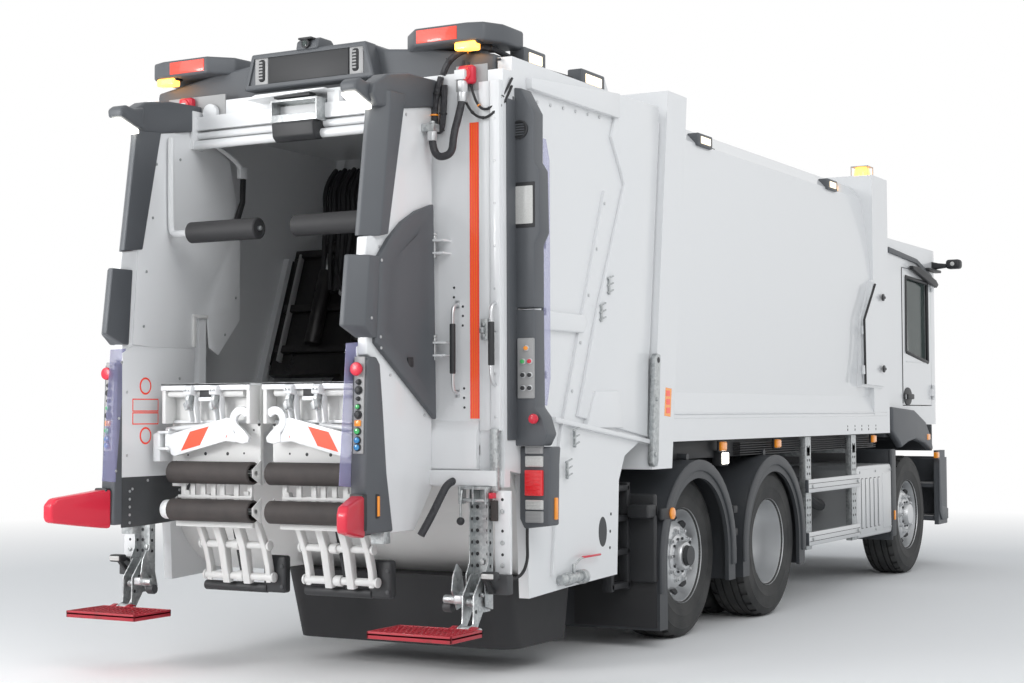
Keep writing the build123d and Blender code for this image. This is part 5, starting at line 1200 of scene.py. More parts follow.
def makeBracket(side):
    front = bracket["front"]
    x, z = bracket["hinge"]
    made = [slab("zinc", (front - 0.006, side * 1.060, 0.42), (front, side * 1.172, 1.04), 0.003)]
    for y in (1.062, 1.170):
        flange = [(front, 0.42), (front - 0.075, 0.44), (front - 0.085, 0.60), (front - 0.050, 0.66),
            (front - 0.050, 1.04), (front, 1.04)]
        made.append(cutout("zinc", "y", flange, side * (y - 0.003), side * (y + 0.003), 0.001, 1))
        made.append(bolts("black", [(front - 0.028, side * (y + 0.0032), height)
            for height in bracket["holes"]], "y", 0.009, side * 0.001, 16))
        made.append(bolts("black", [(front - 0.028, side * (y - 0.0032), height)
            for height in bracket["holes"]], "y", 0.009, -side * 0.001, 16))
    made.append(bolts("black", [(front - 0.0062, side * y, height) for height in bracket["holes"]
        for y in (1.085, 1.147)], "x", 0.010, -0.001, 16))
    made.append(bolts("zinc", [(front - 0.006, side * 1.116, height) for height in (0.56, 0.66)], "x", 0.017,
        -0.012))
    # white bar beside it
    made.append(slab("white", (front - 0.012, side * 1.190, 0.60), (front + 0.008, side * 1.282, 1.025),
        0.004))
    made.append(bolts("zinc", [(front - 0.012, side * 1.236, height) for height in (0.645, 0.76, 0.92)], "x",
        0.013, -0.008))
    made.append(bolts("black", [(front - 0.0125, side * 1.236, height) for height in (0.70, 0.82, 0.98)], "x",
        0.008, -0.001, 14))
    # hanger plates down to the hinge, clamp, leaf plate and spring
    for y in (1.088, 1.152):
        hanger = [(front, 0.60), (front - 0.085, 0.60), (front - 0.165, 0.50), (front - 0.166, 0.40),
            (front - 0.170, 0.360), (x - 0.026, 0.345), (x - 0.030, z - 0.01), (x - 0.012, z - 0.030),
            (x + 0.035, z - 0.030), (front - 0.075, 0.41), (front, 0.41)]
        made.append(cutout("zinc", "y", hanger, side * (y - 0.004), side * (y + 0.004), 0.001, 1))
        places = [(front - 0.04, 0.56), (front - 0.04, 0.50), (front - 0.04, 0.45), (front - 0.11, 0.50),
            (front - 0.145, 0.42)]
        made.append(bolts("black", [(px, side * (y + math.copysign(0.0042, y - 1.12)), pz) for px,
            pz in places], "y", 0.010, side * math.copysign(0.001, y - 1.12), 16))
    leaf = [(front - 0.02, 0.44), (front - 0.115, 0.42), (front - 0.165, 0.52), (front - 0.150, 0.60),
        (front - 0.115, 0.655), (front - 0.07, 0.62)]
    made.append(cutout("zinc", "y", leaf, side * 1.020, side * 1.028, 0.003))
    made.append(bar("zinc", (front - 0.09, side * 1.02, 0.50), (front - 0.09, side * 1.17, 0.50), 0.011,
        0.002, 16))
    clamp = slab("silver", (front - 0.160, side * 1.030, 0.455), (front - 0.105, side * 1.082, 0.500), 0.010,
        3)
    made.append(clamp)
    made.append(bar("zinc", (front - 0.135, side * 0.965, 0.475), (front - 0.135, side * 1.04, 0.475), 0.023,
        0.006))
    made.append(bar("chassis", (front - 0.120, side * 0.955, 0.435), (front - 0.120, side * 1.005, 0.435),
        0.028, 0.008))
    coil = []
    for number in range(49):
        angle = number * math.tau / 8
        coil.append((front - 0.125 + 0.020 * math.cos(angle), side * (1.095 + 0.0009 * number),
            0.462 + 0.020 * math.sin(angle)))
    made.append(tube("zinc", coil, 0.0035, 6))
    made.append(bar("zinc", (front - 0.125, side * 1.09, 0.462), (front - 0.125, side * 1.145, 0.462), 0.010,
        0.001, 16))
    made.append(bar("zinc", (x, side * 1.040, z), (x, side * 1.200, z), 0.0117, 0.002, 20))
    made.append(bar("zinc", (x, side * 1.090, z), (x, side * 1.150, z), 0.024, 0.004, 24))
    made.append(bolts("zinc", [(x, side * 1.200, z)], "y", 0.018, side * 0.010))
    made.append(slab("chassis", (front - 0.05, side * 1.16, 0.50), (front + 0.012, side * 1.285, 0.60),
        0.006))
    # small work lamp on its own arm, and the conduit that feeds it
    made.append(cutout("black", "y", [(front - 0.02, 0.50), (front - 0.06, 0.53), (front - 0.14, 0.60),
        (front - 0.15, 0.585), (front - 0.07, 0.505)], side * 1.190, side * 1.215, 0.003))
    made.append(slab("black", (front - 0.155, side * 1.185, 0.580), (front - 0.095, side * 1.270, 0.622),
        0.012, 3))
    made.append(slab("clearLens", (front - 0.158, side * 1.193, 0.588), (front - 0.150, side * 1.262, 0.614),
        0.004))
    made.append(tube("rubber", [(-2.235, side * 1.262, 0.86), (-2.240, side * 1.262, 0.75),
        (-2.255, side * 1.275, 0.66), (-2.33, side * 1.282, 0.585), (-2.42, side * 1.25, 0.565),
        (-2.50, side * 1.20, 0.585), (-2.54, side * 1.19, 0.60)], 0.0085, 10))
    return made


def makeStep(sideName, side):
    rear, front = -2.965, -2.665
    made = [slab("grating", (rear, side * 0.750, 0.318), (front, side * 1.240, 0.338), 0.006)]
    for low, high in ((0.750, 0.760), (1.230, 1.240)):
        made.append(slab("grating", (rear, side * low, 0.306), (front, side * high, 0.343), 0.003))
    for low in (rear, front - 0.010):
        made.append(slab("grating", (low, side * 0.750, 0.306), (low + 0.010, side * 1.240, 0.343), 0.003))
    stud = slab("grating", (-0.013, -0.003, 0.336), (0.013, 0.003, 0.3425), 0.001, 1)
    places = [(rear + 0.03 + 0.030 * row, side * (0.785 + 0.030 * column + (0.0075 if row % 2 else 0)), 0)
        for row in range(9) for column in range(15)]
    made.append(copies(stud, places))
    for low, high in ((1.050, 1.081), (1.159, 1.190)):
        eye = [(-2.68, 0.317), (-2.64, 0.306), (-2.615, 0.313), (-2.606, 0.330), (-2.615, 0.347),
            (-2.64, 0.353), (-2.68, 0.343)]
        made.append(cutout("grating", "y", eye, side * low, side * high, 0.003))
    return fit(f"step{sideName.title()}", made, f"step_{sideName}", [f"step_{sideName}"])


hangers = []
for sideName, side in sides.items():
    hangers += makeBracket(side)
    makeStep(sideName, side)
fit("stepBrackets", hangers, "tailgate", ["step_brackets"])
print("steps made")


# ---- free hoses of the lifting gear
hoses = {
    "upper": {"length": 0.605, "route": [(-2.465, -1.015, 3.1497), (-2.465, -1.015, 3.060),
        (-2.490, -1.005, 2.960), (-2.520, -0.992, 2.860), (-2.530, -0.988, 2.750), (-2.530, -0.868, 2.750),
        (-2.530, -0.868, 2.8797)]},
    "lower": {"length": 0.404, "route": [(-2.4203, -0.960, 1.075), (-2.520, -0.960, 1.075),
        (-2.570, -0.935, 0.985), (-2.600, -0.900, 0.890), (-2.650, -0.870, 0.800)]},
}


def makeHose(name, route):
    bpy.ops.curve.primitive_nurbs_path_add()
    piece = bpy.context.object
    piece.name = piece.data.name = f"hose{name.title()}"
    places = [(x + trailingX, y, z) for x, y, z in route]
    piece.data.splines.clear()
    spline = piece.data.splines.new("NURBS")
    spline.points.add(len(places) - 1)
    for point, place in zip(spline.points, places):
        point.co = (*place, 1)
    spline.order_u, spline.use_endpoint_u, spline.resolution_u = 3, True, 16
    piece.data.bevel_depth, piece.data.bevel_resolution, piece.data.use_fill_caps = 0.020, 6, True
    piece.location = (0, 0, 0)
    coated(piece, "sleeve")
    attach(piece, "tailgate")
    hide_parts(f"hose_{name}")
    return piece


for name, hose in hoses.items():
    makeHose(name, hose["route"])
fittings = [bar("silver", (-2.465, -1.015, 3.150), (-2.465, -1.015, 3.085), 0.031, 0.004, 6),
            bar("silver", (-2.465, -1.015, 3.09), (-2.469, -1.0134, 3.035), 0.026, 0.004),
            bar("silver", (-2.530, -0.868, 2.892), (-2.530, -0.868, 2.835), 0.028, 0.004, 6),
            bar("silver", (-2.424, -0.960, 1.075), (-2.465, -0.960, 1.075), 0.028, 0.004, 6)]
fit("hoseFittings", fittings, "tailgate")
print("hoses made")
# ---- tailgate's sides
gateSide = {
    "at": 1.229, "column": [(-1.129, 3.275), (-1.129, 3.114), (-1.177, 3.014), (-1.037, 2.813),
        (-1.002, 2.754), (-1.376, 1.98), (-1.62, 1.40), (-0.710, 1.275), (-0.690, 1.765), (-0.520, 3.145),
        (-0.515, 3.29)],
    "roofBox": [(-2.175, 3.13), (-1.10, 3.13), (-1.10, 3.275), (-2.175, 3.19)],
    "ledge": [(-2.10, 1.862), (-1.56, 1.862), (-1.51, 1.93), (-1.55, 1.966), (-2.10, 1.966)],
    "gusset": [(-1.429, 1.541), (-1.121, 1.544), (-1.068, 1.332), (-1.537, 1.337)],
    "sill": [(-1.915, 1.372), (-0.690, 1.232), (-0.690, 1.258), (-1.915, 1.398)],
    "hooks": [(-1.24, 2.15), (-1.34, 1.99), (-1.68, 1.285), (-1.77, 1.115)],
}


def makeGateSide():
    at = gateSide["at"]
    made = [cutout("white", "y", gateSide["column"], at, at + 0.022, 0.006)]
    made.append(cutout("white", "y", gateSide["roofBox"], at, at + 0.040, 0.006))
    made.append(cutout("white", "y", gateSide["ledge"], at, at + 0.030, 0.010, 3))
    made.append(cutout("white", "y", gateSide["gusset"], at, at + 0.034, 0.004))
    made.append(cutout("white", "y", gateSide["sill"], at, at + 0.036, 0.003))
    for low, high in (((-1.27, 2.69), (-1.84, 1.27)), ((-1.84, 1.27), (-1.93, 0.55))):
        flange = [low, (low[0] + 0.014, low[1]), (high[0] + 0.014, high[1]), high]
        made.append(cutout("white", "y", flange, at, at + 0.020, 0.002))
    for x, z in gateSide["hooks"]:
        made.append(slab("zinc", (x - 0.008, at + 0.018, z - 0.055), (x + 0.008, at + 0.034, z + 0.045),
            0.003))
        for height in (z - 0.045, z - 0.005, z + 0.035):
            made.append(bar("zinc", (x - 0.02, at + 0.028, height), (x + 0.045, at + 0.034, height + 0.02),
                0.005, 0.001, 10))
    made.append(bolts("silver", [(-1.24 - 0.105 * number, at + 0.001, 2.62 - 0.27 * number)
        for number in range(5)], "y", 0.010, 0.006, 10))
    made.append(bolts("silver", [(-2.05 + 0.15 * number, at + 0.001, 3.08 + 0.006 * number)
        for number in range(6)], "y", 0.010, 0.006, 10))
    # oval opening with its small holes, and the drain valve with a red lever
    oval = [(-1.286 + 0.052 * math.cos(math.tau * number / 24),
        0.745 + 0.085 * math.sin(math.tau * number / 24)) for number in range(24)]
    made.append(cutout("chassis", "y", oval, at - 0.01, at + 0.0025, 0.001, 1))
    made.append(bolts("black", [(x, at + 0.001, z) for x, z in ((-1.179, 0.84), (-1.19, 0.742),
        (-1.195, 0.649))], "y", 0.009, 0.002, 14))
    valve = [bar("zinc", (-1.86, at + 0.028, 0.520), (-1.585, at + 0.028, 0.520), 0.028, 0.006),
        bar("zinc", (-1.80, at + 0.028, 0.520), (-1.74, at + 0.028, 0.520), 0.038, 0.004, 6),
        bar("zinc", (-1.625, at + 0.028, 0.520), (-1.575, at + 0.028, 0.520), 0.040, 0.004),
        bar("black", (-1.5755, at + 0.028, 0.520), (-1.574, at + 0.028, 0.520), 0.026, 0),
        bar("zinc", (-1.70, at + 0.028, 0.54), (-1.70, at + 0.028, 0.598), 0.010, 0.002, 12),
        tube("zinc", [(-1.705, at + 0.028, 0.590), (-1.67, at + 0.028, 0.592), (-1.63, at + 0.030, 0.622),
        (-1.56, at + 0.030, 0.625)], 0.006, 8), slab("red", (-1.60, at + 0.024, 0.619),
        (-1.375, at + 0.036, 0.631), 0.004)]
    made += valve
    made.append(slab("white", (-1.42, 1.085, 3.20), (-0.52, 1.180, 3.305), 0.008))
    for low, high in ((-1.425, -1.13), (-2.10, -1.86)):
        made.append(slab("charcoal", (low, 1.09, 3.280), (high, 1.185, 3.378), 0.010, 3))
        made.append(slab("warmLit", (low + 0.045, 1.178, 3.300), (high - 0.045, 1.190, 3.355), 0.006))
    return fit("gateSides", [mirrored(joinUp(made))], "tailgate")


makeGateSide()
print("gate sides made")


# ---- hoses and rams on the packer's carriage, which lies along a slanted guide
packer = {"pivot": (-1.28, 1.60), "slope": math.radians(70)}


def guidePlace(up, back, y):
    slope = packer["slope"]
    x = packer["pivot"][0] + up * math.cos(slope) - back * math.sin(slope)
    return (x, y, packer["pivot"][1] + up * math.sin(slope) + back * math.cos(slope))


def makePacker():
    made = []
    for number in range(12):
        y = 0.60 + 0.024 * number
        back = 0.075 + 0.022 * (number % 3)
        route = [guidePlace(1.46, back - 0.02, y + 0.03), guidePlace(1.30, back + 0.08, y + 0.02),
            guidePlace(1.08, back + 0.04, y - 0.02), guidePlace(0.86, back, y - 0.03 * (number % 2)),
            guidePlace(0.60, back - 0.02, 0.1 + y * 0.8)]
        made.append(tube("rubber", route, 0.016, 8))
    made.append(bar("greasy", guidePlace(1.44, 0.02, 0.55), guidePlace(1.44, 0.02, 0.95), 0.035, 0.006))
    for y in (-0.75, -0.40, 0.45, 0.80):
        made.append(bar("greasy", guidePlace(0.24, 0.085, y), guidePlace(0.74, 0.085, y), 0.050, 0.010))
        made.append(bar("silver", guidePlace(0.74, 0.085, y), guidePlace(0.90, 0.085, y), 0.026, 0.004))
        made.append(bar("greasy", guidePlace(0.90, 0.085, y - 0.045), guidePlace(0.90, 0.085, y + 0.045),
            0.046, 0.008))
    for up in (0.20, 0.48, 0.86):
        corners = [guidePlace(up, 0.025, 0), guidePlace(up + 0.05, 0.025, 0), guidePlace(up + 0.05, 0.065, 0),
            guidePlace(up, 0.065, 0)]
        made.append(cutout("greasy", "y", [(x, z) for x, y, z in corners], -1.10, 1.10, 0.006))
    for y, up in ((0.16, 0.50), (-0.20, 0.40), (0.62, 0.58), (-0.58, 0.66)):
        made.append(bar("panel", guidePlace(up, 0.03, y), guidePlace(up, 0.125, y), 0.034, 0.006, 6))
        made.append(tube("rubber", [guidePlace(up, 0.12, y), guidePlace(up + 0.10, 0.15, y + 0.05),
            guidePlace(up + 0.22, 0.12, y + 0.10), guidePlace(up + 0.30, 0.06, y + 0.12)], 0.013, 8))
    for side in (-1, 1):
        strip = [guidePlace(up, back, 0) for up, back in ((0.14, 0.03), (0.88, 0.03), (0.88, 0.075),
            (0.14, 0.075))]
        made.append(cutout("panel", "y", [(x, z) for x, y, z in strip], side * 1.045, side * 1.060, 0.003))
    return fit("packerGear", made, "packer_carriage")


makePacker()
print("packer gear made")


# ---- body's sides
bodySide = {"ridges": (1.385, 1.412), "holes": (3.044, 3.226, 3.40, 3.577, 3.772),
    "markers": (0.571, 1.597, 3.841)}


def makeBodySide():
    made = []
    for z in bodySide["ridges"]:
        made.append(slab("white", (-0.40, 1.246, z - 0.004), (4.08, 1.2525, z + 0.004), 0.002))
    made.append(bolts("black", [(x, 1.2485, 1.277) for x in bodySide["holes"]], "y", 0.011, 0.0022, 16))
    made.append(bolts("black", [(x, 1.2485, 1.305) for x in bodySide["holes"]], "y", 0.009, 0.0022, 16))
    strip = [(-0.600, 1.767), (-0.640, 1.775), (-0.672, 1.750), (-0.722, 1.12), (-0.700, 1.095),
        (-0.655, 1.10), (-0.640, 1.13)]
    made.append(cutout("zinc", "y", strip, 1.252, 1.290, 0.005))
    made.append(bar("black", (-0.635, 1.280, 1.735), (-0.635, 1.292, 1.735), 0.017, 0, 20))
    made.append(bolts("zinc", [(-0.668, 1.290, 1.50), (-0.690, 1.290, 1.17)], "y", 0.014, 0.008))
    sticker = [(-0.412, 1.565), (-0.500, 1.572), (-0.522, 1.40), (-0.432, 1.393)]
    made.append(cutout("amber", "y", sticker, 1.270, 1.2765, 0))
    for number in range(3):
        z = 1.415 + 0.052 * number
        made.append(slab("redStrip", (-0.495, 1.2760, z), (-0.440, 1.2775, z + 0.034), 0, 1))
    for x in bodySide["markers"]:
        made.append(slab("black", (x - 0.055, 1.185, 1.158), (x + 0.055, 1.200, 1.232), 0.004))
        made.append(slab("amber", (x - 0.045, 1.195, 1.165), (x + 0.045, 1.222, 1.225), 0.010, 3))
    made.append(slab("black", (0.58, 1.12, 1.06), (0.72, 1.19, 1.165), 0.010))
    made.append(slab("whiteLit", (0.595, 1.185, 1.075), (0.705, 1.197, 1.15), 0.008))
    for number in range(6):
        z = 1.125 + 0.016 * number
        made.append(slab("black", (0.92, 1.14, z), (3.95, 1.19, z + 0.007), 0.001, 1))
    made.append(slab("black", (-0.30, 1.10, 1.12), (4.05, 1.14, 1.235), 0.004))
    # work lamps by the roof's edge and their rail
    for low, high, z in ((0.28, 0.52, 3.165), (2.86, 3.09, 3.165)):
        made.append(slab("charcoal", (low, 1.09, z), (high, 1.175, z + 0.085), 0.010, 3))
        made.append(slab("warmLit", (low + 0.04, 1.168, z + 0.018), (high - 0.04, 1.180, z + 0.066), 0.006))
        made.append(slab("black", (high - 0.01, 1.11, z + 0.005), (high + 0.10, 1.15, z + 0.022), 0.004))
    return fit("bodySides", [mirrored(joinUp(made))], "root")


def makeServiceDoor():
    low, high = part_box("service_door")
    face = low[1] if abs(low[1]) > abs(high[1]) else high[1]
    side = math.copysign(1, face)
    rear, front = low[0] - trailingX, high[0] - trailingX
    bottom, top = low[2], high[2]
    seal = [(rear + 0.30, top - 0.02), (rear + 0.005, 2.16), (rear + 0.02, bottom + 0.01)]
    made = [tube("rubber", [(x, face - side * 0.004, z) for x, z in (seal[0], seal[0], seal[1], seal[1],
        seal[2], seal[2])], 0.010, 8)]
    for z in (2.363, 1.772):
        made.append(bar("chassis", (front - 0.07, face - side * 0.006, z),
            (front - 0.07, face + side * 0.008, z), 0.030, 0.004))
        made.append(slab("black", (front - 0.115, face + side * 0.004, z - 0.010),
            (front - 0.035, face + side * 0.014, z + 0.010), 0.003))
    return fit("serviceDoorTrim", made, "service_door")


makeBodySide()
makeServiceDoor()
print("body sides made")


# ---- beacons on the headboard
def makeBeacons():
    low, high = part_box("beacons")
    made = []
    for side in (-1, 1):
        centre = (low[0] + high[0]) / 2 - trailingX
        y = side * (high[1] - (high[0] - low[0]) / 2)
        radius = (high[0] - low[0]) / 2
        foot, top = low[2], high[2]
        dome = [(0.0, 0.0), (radius * 0.92, 0.0), (radius * 0.95, 0.03), (radius * 0.86, (top - foot) * 0.75),
            (radius * 0.70, top - foot - 0.012), (radius * 0.35, top - foot), (0.0, top - foot)]
        made.append(turned("amberLit", (centre, y, foot), "z", [(r, up) for r, up in dome], 36))
        made.append(bar("charcoal", (centre, y, foot - 0.004), (centre, y, foot + 0.028), radius, 0.005, 36))
        made.append(slab("panel", (centre - radius, y - radius, top - 0.006),
            (centre + radius, y + radius, top), 0.002))
        for edge in (-1, 1):
            for other in (-1, 1):
                x, across = centre + edge * radius * 0.95, y + other * radius * 0.95
                made.append(bar("panel", (x, across, foot - 0.01), (x, across, top), 0.004, 0.001, 8))
    return fit("beaconLamps", made, "root", ["beacons"])


makeBeacons()
print("beacons made")
# ---- mudguards, side guards and what hangs under the body
arch = {"radius": 0.607, "inner": 0.535, "height": 0.515, "flap": 0.125, "amber": (-0.453, 0.807)}


def makeMudguards():
    made = []
    for ahead, rear, fore in ((0.0, 0.33, 0.42), (1.35, 0.42, 0.42)):
        outline = [(ahead - arch["radius"], rear)]
        turns = [math.radians(180 - 7.5 * number) for number in range(25)]
        outline += [(ahead + arch["radius"] * math.cos(turn),
            arch["height"] + arch["radius"] * math.sin(turn)) for turn in turns]
        outline += [(ahead + arch["radius"], fore), (ahead + arch["inner"], fore)]
        outline += [(ahead + arch["inner"] * math.cos(turn), arch["height"] + arch["inner"] * math.sin(turn))
            for turn in reversed(turns)]
        outline.append((ahead - arch["inner"], rear))
        made.append(cutout("fender", "y", outline, 1.262, 1.286, 0.009, 3))
    # rear flap, its corner, the frame inboard of it and the amber marker
    made.append(slab("rubber", (-0.612, 0.70, arch["flap"]), (-0.596, 1.255, 0.42), 0.004))
    made.append(slab("black", (-0.640, 0.95, 0.40), (-0.600, 1.262, 0.93), 0.014, 3))
    made.append(slab("black", (-0.74, 1.12, 0.79), (-0.60, 1.262, 0.87), 0.012, 3))
    for x in (-0.905, -0.68):
        made.append(slab("black", (x, 1.04, 0.36), (x + 0.040, 1.10, 1.0), 0.006))
    for z in (0.37, 0.57, 0.77, 0.95):
        made.append(slab("black", (-0.90, 1.03, z), (-0.65, 1.10, z + 0.035), 0.006))
    x, z = arch["amber"]
    made.append(slab("black", (-0.60, 1.262, z - 0.035), (-0.44, 1.290, z + 0.035), 0.010, 3))
    made.append(bar("amber", (x, 1.284, z), (x, 1.302, z), 0.036, 0.006, 32))
    for ahead, height in ((0.655, 0.75), (0.655, 0.60)):
        made.append(slab("black", (ahead - 0.035, 1.14, height), (ahead + 0.035, 1.262, height + 0.05),
            0.008))
    return fit("mudguardTrim", [mirrored(joinUp(made))], "root")


def makeGuards():
    low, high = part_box("side_guards")
    outside = high[1]
    back, front = low[0] - trailingX, high[0] - trailingX
    made = []
    for z in (0.430, 0.820):
        made.append(slab("aluminium", (back, outside - 0.030, z), (front, outside, z + 0.100), 0.006, 3))
        for up in (0.030, 0.066):
            made.append(slab("chassis", (back + 0.004, outside - 0.001, z + up),
                (front - 0.004, outside + 0.0008, z + up + 0.004), 0, 1))
        for end in (back + 0.001, front - 0.001):
            made.append(slab("charcoal", (end - 0.004, outside - 0.028, z + 0.004),
                (end + 0.004, outside - 0.002, z + 0.096), 0.002))
    for x in (2.18, 3.25):
        inner = outside - 0.031
        made.append(slab("zinc", (x - 0.060, inner - 0.010, 0.40), (x + 0.060, inner, 1.235), 0.003))
        for edge in (-0.060, 0.054):
            made.append(slab("zinc", (x + edge, inner - 0.050, 0.40), (x + edge + 0.006, inner, 1.235),
                0.002))
        heights = [0.60 + 0.055 * number for number in range(4)]
        heights += [0.96 + 0.05 * number for number in range(5)]
        made.append(bolts("black", [(x + shift, inner + 0.0005, z) for z in heights
            for shift in (-0.025, 0.025)], "y", 0.010, 0.001, 14))
        made.append(bolts("zinc", [(x, outside + 0.0005, z + 0.05) for z in (0.430, 0.820)], "y", 0.014,
            0.007))
        made.append(slab("zinc", (x - 0.04, 0.44, 1.09), (x + 0.04, inner, 1.16), 0.004))
    return fit("sideGuards", [mirrored(joinUp(made))], "root", ["side_guards"])


def makeExhaustBox():
    low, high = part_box("exhaust_box")
    side = math.copysign(1, (low[1] + high[1]))
    outer = low[1] if side < 0 else high[1]
    inner = high[1] if side < 0 else low[1]
    rear, front, bottom, top = low[0] - trailingX, high[0] - trailingX, low[2], high[2]
    section = [(rear, bottom + 0.02), (rear + 0.02, bottom), (front - 0.02, bottom), (front, bottom + 0.02),
        (front, top - 0.03), (front - 0.03, top), (rear + 0.03, top), (rear, top - 0.03)]
    made = [cutout("aluminium", "y", section, inner, outer - side * 0.004, 0.018, 4)]
    made.append(slab("aluminium", (rear + 0.015, outer - side * 0.01, bottom + 0.03),
        (front - 0.02, outer, top - 0.03), 0.006))
    for number in range(5):
        x = rear + 0.075 + 0.112 * number
        made.append(slab("chassis", (x, outer - side * 0.004, bottom + 0.075),
            (x + 0.052, outer + side * 0.0006, top - 0.10), 0.0005, 1))
        made.append(slab("aluminium", (x + 0.006, outer - side * 0.004, bottom + 0.08),
            (x + 0.046, outer + side * 0.010, top - 0.105), 0.010, 3))
    made.append(slab("aluminium", (rear + 0.66, outer - side * 0.004, bottom + 0.05),
        (front - 0.04, outer + side * 0.004, top - 0.07), 0.004))
    places = [(rear + 0.04 + (front - rear - 0.08) * share, outer, z) for share in (0, 0.5, 1)
        for z in (bottom + 0.05, top - 0.05)]
    made.append(bolts("zinc", places, "y", 0.010, side * 0.006))
    made.append(bar("rubber", (rear + 0.02, inner - side * 0.02, top - 0.12),
        (rear - 0.55, inner - side * 0.05, top - 0.02), 0.055, 0.004))
    made.append(tube("chassis", [(2.45, side * 1.0, 0.45), (2.45, side * 1.0, 0.75), (2.6, side * 0.95, 0.85),
        (2.9, side * 0.9, 0.88), (3.1, side * 0.9, 0.7), (rear + 0.02, side * 0.9, 0.66)], 0.045, 12))
    return fit("exhaustCover", made, "root", ["exhaust_box"])


makeMudguards()
makeGuards()
makeExhaustBox()
print("sides made")
# ---- cab
cab = {
    "side": 1.150, "nose": 6.30, "cameraAt": 5.86, "cameraHeight": 2.76,
    "fender": [(4.36, 1.245), (4.36, 1.46), (5.035, 1.43), (5.37, 1.33), (5.55, 1.18), (5.61, 1.07),
        (5.55, 1.065), (5.346, 1.13), (5.057, 1.172), (4.85, 1.155), (4.62, 1.105), (4.56, 1.15)],
    "roofStrip": [(4.47, 2.795), (4.47, 2.842), (5.33, 2.800), (5.80, 2.685), (5.84, 2.655), (5.79, 2.645),
        (5.32, 2.757)],
    "window": [(4.99, 1.95), (5.69, 1.87), (5.69, 2.60), (5.00, 2.62)],
}


def makeCabTrim():
    side = cab["side"]
    made = [cutout("charcoal", "y", cab["fender"], side, 1.217, 0.020, 3)]
    made.append(slab("fender", (4.62, 0.90, 1.172), (5.37, side + 0.001, 1.202), 0.006))
    made.append(slab("fender", (4.62, 1.10, 1.175), (5.37, side + 0.001, 1.300), 0.006))
    made.append(cutout("charcoal", "y", cab["roofStrip"], side, side + 0.020, 0.007, 3))
    made.append(slab("fender", (4.40, 0.46, 0.98), (5.95, 0.48, 1.30), 0.006))
    made.append(slab("fender", (5.595, 0.48, 1.06), (5.625, 1.20, 1.30), 0.006))
    made.append(slab("fender", (4.36, 0.46, 1.20), (5.62, 1.14, 1.23), 0.006))
    # wind blade over the door, with the camera arm at the roof's edge
    blade = [(5.08, 2.72), (5.10, 2.69), (5.74, 2.585), (5.86, 2.57), (5.92, 2.60), (5.84, 2.64),
        (5.30, 2.725)]
    made.append(cutout("black", "y", blade, side + 0.012, side + 0.052, 0.008, 3))
    x, z = cab["cameraAt"], cab["cameraHeight"]
    arm = [(side - 0.02, z - 0.020), (side - 0.02, z + 0.060), (side + 0.06, z + 0.040),
        (side + 0.16, z + 0.028), (side + 0.16, z)]
    made.append(cutout("black", "x", arm, x, x + 0.070, 0.010, 3))
    made.append(slab("black", (x - 0.020, side + 0.135, z - 0.018), (x + 0.090, side + 0.268, z + 0.068),
        0.026, 4))
    made.append(bar("clearLens", (x - 0.024, side + 0.20, z + 0.026), (x - 0.014, side + 0.20, z + 0.026),
        0.020, 0.003))
    made.append(slab("black", (5.60, side - 0.01, z - 0.045), (6.00, side + 0.055, z - 0.020), 0.008, 3))
    # indicator and marker on the fender
    made.append(slab("amber", (5.40, 1.205, 1.16), (5.50, 1.222, 1.215), 0.010, 3))
    made.append(slab("amber", (5.655, 1.20, 0.99), (5.735, 1.238, 1.045), 0.010, 3))
    piece = mirrored(joinUp(made))
    return fit("cabTrim", [piece], "cab", ["cab_trim"])


def makeCabFace():
    nose = cab["nose"]
    made = [slab("charcoal", (nose - 0.006, -0.70, 1.18), (nose + 0.020, 0.70, 1.70), 0.016, 3)]
    for number in range(6):
        z = 1.215 + 0.078 * number
        made.append(slab("black", (nose + 0.014, -0.66, z), (nose + 0.024, 0.66, z + 0.052), 0.006))
        made.append(slab("silver", (nose + 0.016, -0.66, z + 0.055), (nose + 0.032, 0.66, z + 0.067), 0.004))
    for y in (-0.05, 0.35, 0.75):
        foot = (nose + 0.008, y, 1.775)
        elbow = (nose - 0.035, y - 0.40, 1.93)
        made.append(bar("black", foot, elbow, 0.010, 0.002, 12))
        made.append(bar("rubber", (elbow[0] - 0.004, y - 0.62, 1.905), (elbow[0] - 0.008, y - 0.10, 1.975),
            0.007, 0.001, 8))
        made.append(bar("black", (nose - 0.02, y, 1.765), (nose + 0.022, y, 1.772), 0.022, 0.004))
    for y in (-1, 1):
        made.append(slab("black", (5.95, y * 0.83 - 0.02, 1.84), (5.97, y * 0.83 + 0.02, 1.86), 0.002))
    made.append(slab("charcoal", (6.165, -0.80, 2.70), (6.235, 0.80, 2.735), 0.010, 3))
    return fit("cabFace", made, "cab")


def makeDoorTrim(sideName, side):
    face = side * cab["side"]
    made = []
    corners = cab["window"]
    for number, (x, z) in enumerate(corners):
        nextX, nextZ = corners[(number + 1) % 4]
        made.append(bar("black", (x, face - side * 0.002, z), (nextX, face - side * 0.002, nextZ), 0.016,
            0.002, 12))
    ring = []
    for number in range(28):
        angle = math.tau * number / 28
        ring.append((5.03 + 0.120 * math.cos(angle), 1.553 + 0.080 * math.sin(angle)))
    made.append(cutout("black", "y", ring, face - side * 0.004, face + side * 0.008, 0.004))
    made.append(slab("black", (4.935, face + side * 0.018, 1.528), (5.125, face + side * 0.036, 1.574), 0.008,
        3))
    made.append(slab("white", (5.00, face, 1.86), (5.68, face + side * 0.006, 1.868), 0.002))
    made.append(tube("rubber", [(4.888, face, 1.49), (4.888, face, 1.49), (4.888, face, 2.69),
        (4.888, face, 2.69)], 0.005, 8))
    return fit(f"door{sideName.title()}Trim", made, f"door_{sideName}")


